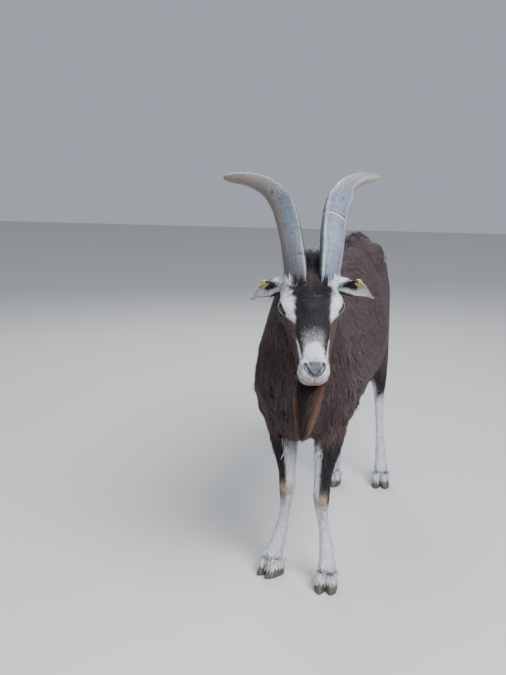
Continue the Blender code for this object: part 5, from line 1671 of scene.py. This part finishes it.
def claw_material():
    """Worn horn of the foot: level growth lines, pale streaks down it, earth at its lower edge."""
    material, tree, shader = new_material("claw_horn", specular_ior_level=0.40)
    place = tree.nodes.new("ShaderNodeTexCoord").outputs["Object"]
    streaks = noise(tree, 90.0, 4.0, place, (1.0, 1.0, 0.12), 0.65)
    lines = noise(tree, 60.0, 3.0, place, (0.12, 0.12, 4.5), 0.6)
    grain = place_group(tree, fine_grain, Scale=900.0)
    shade = mix(tree, remap(tree, streaks, 0.35, 0.65), (0.030, 0.026, 0.025), (0.125, 0.110, 0.100))
    shade = mix(tree, remap(tree, lines, 0.45, 0.62, 0.0, 0.5), shade, (0.060, 0.050, 0.045))
    heights = tree.nodes.new("ShaderNodeSeparateXYZ")
    link(tree, place, heights.inputs["Vector"])
    earth = remap(tree, heights.outputs["Z"], 0.014, 0.0)
    shade = mix(tree, times(tree, earth, grain.outputs["Mask"]), shade, (0.10, 0.080, 0.060))
    link(tree, shade, shader.inputs["Base Color"])
    link(tree, remap(tree, streaks, 0.3, 0.7, 0.48, 0.72), shader.inputs["Roughness"])
    height = arithmetic(tree, "ADD", lines, times(tree, grain.outputs["Height"], 0.3))
    link(tree, bump(tree, height, 0.7, 0.0010), shader.inputs["Normal"])
    return material


def claw_mesh(node):
    """The claw as one smooth body with low growth ridges over its wall."""
    mesh = remeshed(node_form([node]), CLAW_VOXEL, 2)
    points = points_of(mesh)
    z = points[:, 2]
    ridges = 0.00028 * np.sin(z * 950 + 1.2 * ripple(points, 70.0)) * fade(0.002, 0.006, z)
    points = points + normals_of(mesh) * ridges[:, None]
    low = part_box(node)[0][2]
    points[:, 2] = np.where(points[:, 2] < low + 0.0012, low, points[:, 2])
    set_points(mesh, points)
    smooth_shaded(mesh)
    return mesh


FOOT_TUFTS = 340


def grow_foot(mesh, name, material, coat):
    """White hair that hangs from the pastern over the upper wall of a claw."""
    count, steps = FOOT_TUFTS, 3
    points, normals = points_of(mesh), normals_of(mesh)
    low, high = points[:, 2].min(), points[:, 2].max()
    level = (points[:, 2] - low) / (high - low)
    weight = fade(0.60, 0.95, level)
    chosen = rng.choice(len(points), count, p=weight / weight.sum())
    roots, outs = points[chosen], normals[chosen]
    away = roots - points.mean(0)
    away[:, 2] = -0.03
    way = unit(away - outs * (away * outs).sum(1, keepdims=True))
    way = turned(way, outs, rng.normal(0, 0.16, count))
    length = rng.uniform(0.014, 0.026, count)
    raised = rng.uniform(0.0008, 0.0020, count)
    path, outs = hair_paths(tree_of(mesh), roots, outs, way, length, raised, steps)
    near = peak(np.linalg.norm(coat.middle - points.mean(0), axis=1), 0.0, 0.03)
    _, _, uv = coat.roots(near, count)
    wide = rng.uniform(0.0012, 0.0019, count)
    marks = np.tile([1.0, 0.0, 0.0], (count, 1))
    hair = tuft_mesh(name, keep_off_floor(path), outs, wide, wide * 0.35, marks, np.zeros((count, 3)),
                     rng.uniform(0, 1, count), uv)
    new_piece(name, hair, material)


def make_claws(coat, coat_look):
    material = claw_material()
    for leg in ("fore_left", "fore_right", "hind_left", "hind_right"):
        for claw in ("inner", "outer"):
            node = f"{leg}_claw_{claw}"
            mesh = claw_mesh(node)
            new_piece(f"{node}_wall", mesh, material, [node])
            grow_foot(mesh, f"coat_{node}", coat_look, coat)


def tag_material():
    """Moulded yellow plastic, scratched and dusty, its faces darkened to olive as painted shade and its edges
    paler as a painted highlight.
    """
    material, tree, shader = new_material("ear_tag_plastic_painted_light", specular_ior_level=0.45)
    clouds = noise(tree, 70.0, 4.0)
    scratches = noise(tree, 160.0, 4.0, None, (1.0, 6.0, 0.5), 0.7)
    grain = place_group(tree, fine_grain, Scale=1400.0)
    # Olive faces: the yellow is darkened as painted shade.
    shade = mix(tree, clouds, (0.34, 0.28, 0.075), (0.24, 0.205, 0.075))
    shade = mix(tree, remap(tree, scratches, 0.60, 0.75, 0.0, 0.5), shade, (0.50, 0.43, 0.20))
    shade = mix(tree, remap(tree, grain.outputs["Mask"], 0.50, 0.70, 0.0, 0.6), shade, (0.13, 0.11, 0.06))
    # Pale edges: a painted highlight.
    shade = mix(tree, attribute(tree, "rim", "Fac"), shade, (0.80, 0.68, 0.33))
    link(tree, shade, shader.inputs["Base Color"])
    link(tree, remap(tree, scratches, 0.3, 0.7, 0.36, 0.55), shader.inputs["Roughness"])
    link(tree, bump(tree, grain.outputs["Height"], 0.25, 0.0004), shader.inputs["Normal"])
    return material


def add_edge_highlight(mesh):
    """Marks the outer edges of a thin plate, where its faces turn, for a pale painted highlight."""
    points, normals = points_of(mesh), normals_of(mesh)
    spread = points - points.mean(0)
    thin = np.linalg.svd(spread, full_matrices=False)[2][2]
    rim = fade(0.85, 0.45, np.abs(normals @ thin))
    layer = mesh.attributes.new("rim", "FLOAT", "POINT")
    layer.data.foreach_set("value", rim.astype(np.float32))


def make_tags():
    material = tag_material()
    for word in ("left", "right"):
        mesh = remeshed(node_form(["ear_tag_" + word]), TAG_VOXEL, 3)
        add_edge_highlight(mesh)
        smooth_shaded(mesh)
        new_piece("ear_tag_moulded_" + word, mesh, material, ["ear_tag_" + word])


# Stage, light and camera

def make_stage():
    bpy.ops.mesh.primitive_plane_add(size=14.0, location=(0, 2.0, 0))
    floor = bpy.context.object
    floor.name = "floor"
    material, tree, shader = new_material("floor_paper", roughness=0.85)
    tone = mix(tree, noise(tree, 1.2, 2.0), (0.60, 0.59, 0.57), (0.64, 0.63, 0.61))
    link(tree, tone, shader.inputs["Base Color"])
    floor.data.materials.append(material)
    world = bpy.data.worlds.new("studio")
    world.use_nodes = True
    world.node_tree.nodes["Background"].inputs["Color"].default_value = (0.80, 0.87, 1.0, 1.0)
    world.node_tree.nodes["Background"].inputs["Strength"].default_value = 0.48
    bpy.context.scene.world = world


def area_light(name, place, target, size, power, colour):
    data = bpy.data.lights.new(name, "AREA")
    data.shape = "DISK"
    data.size = size
    data.energy = power
    data.color = colour
    lamp = bpy.data.objects.new(name, data)
    bpy.context.scene.collection.objects.link(lamp)
    lamp.location = place
    lamp.rotation_euler = (Vector(target) - Vector(place)).to_track_quat("-Z", "Y").to_euler()
    return lamp


def make_lights():
    area_light("key", (1.9, -2.3, 3.2), (0, -0.2, 0.5), 2.2, 290, (0.95, 0.97, 1.0))
    area_light("fill", (-2.4, -2.4, 1.8), (0, 0, 0.5), 2.6, 24, (0.88, 0.93, 1.0))
    area_light("rim", (-1.2, 2.6, 2.6), (0, 0, 0.6), 2.0, 60, (0.9, 0.95, 1.0))


def make_camera():
    """The photograph's viewpoint: a little above the withers, before the goat and to its left."""
    place = Vector((0.544, -2.217, 1.055)) - Vector(SHIFT)
    data = bpy.data.cameras.new("view")
    data.sensor_width = 36.0
    data.lens = 36.0 * 1000.0 / 675.0
    camera = bpy.data.objects.new("view", data)
    bpy.context.scene.collection.objects.link(camera)
    camera.location = place
    camera.rotation_euler = (math.radians(90 - 11.3), 0, math.radians(16.6))
    bpy.context.scene.camera = camera


make_camera()
make_stage()
make_lights()
coat, coat_look = skin_and_coat()
make_horns()
make_eyes()
make_claws(coat, coat_look)
make_tags()
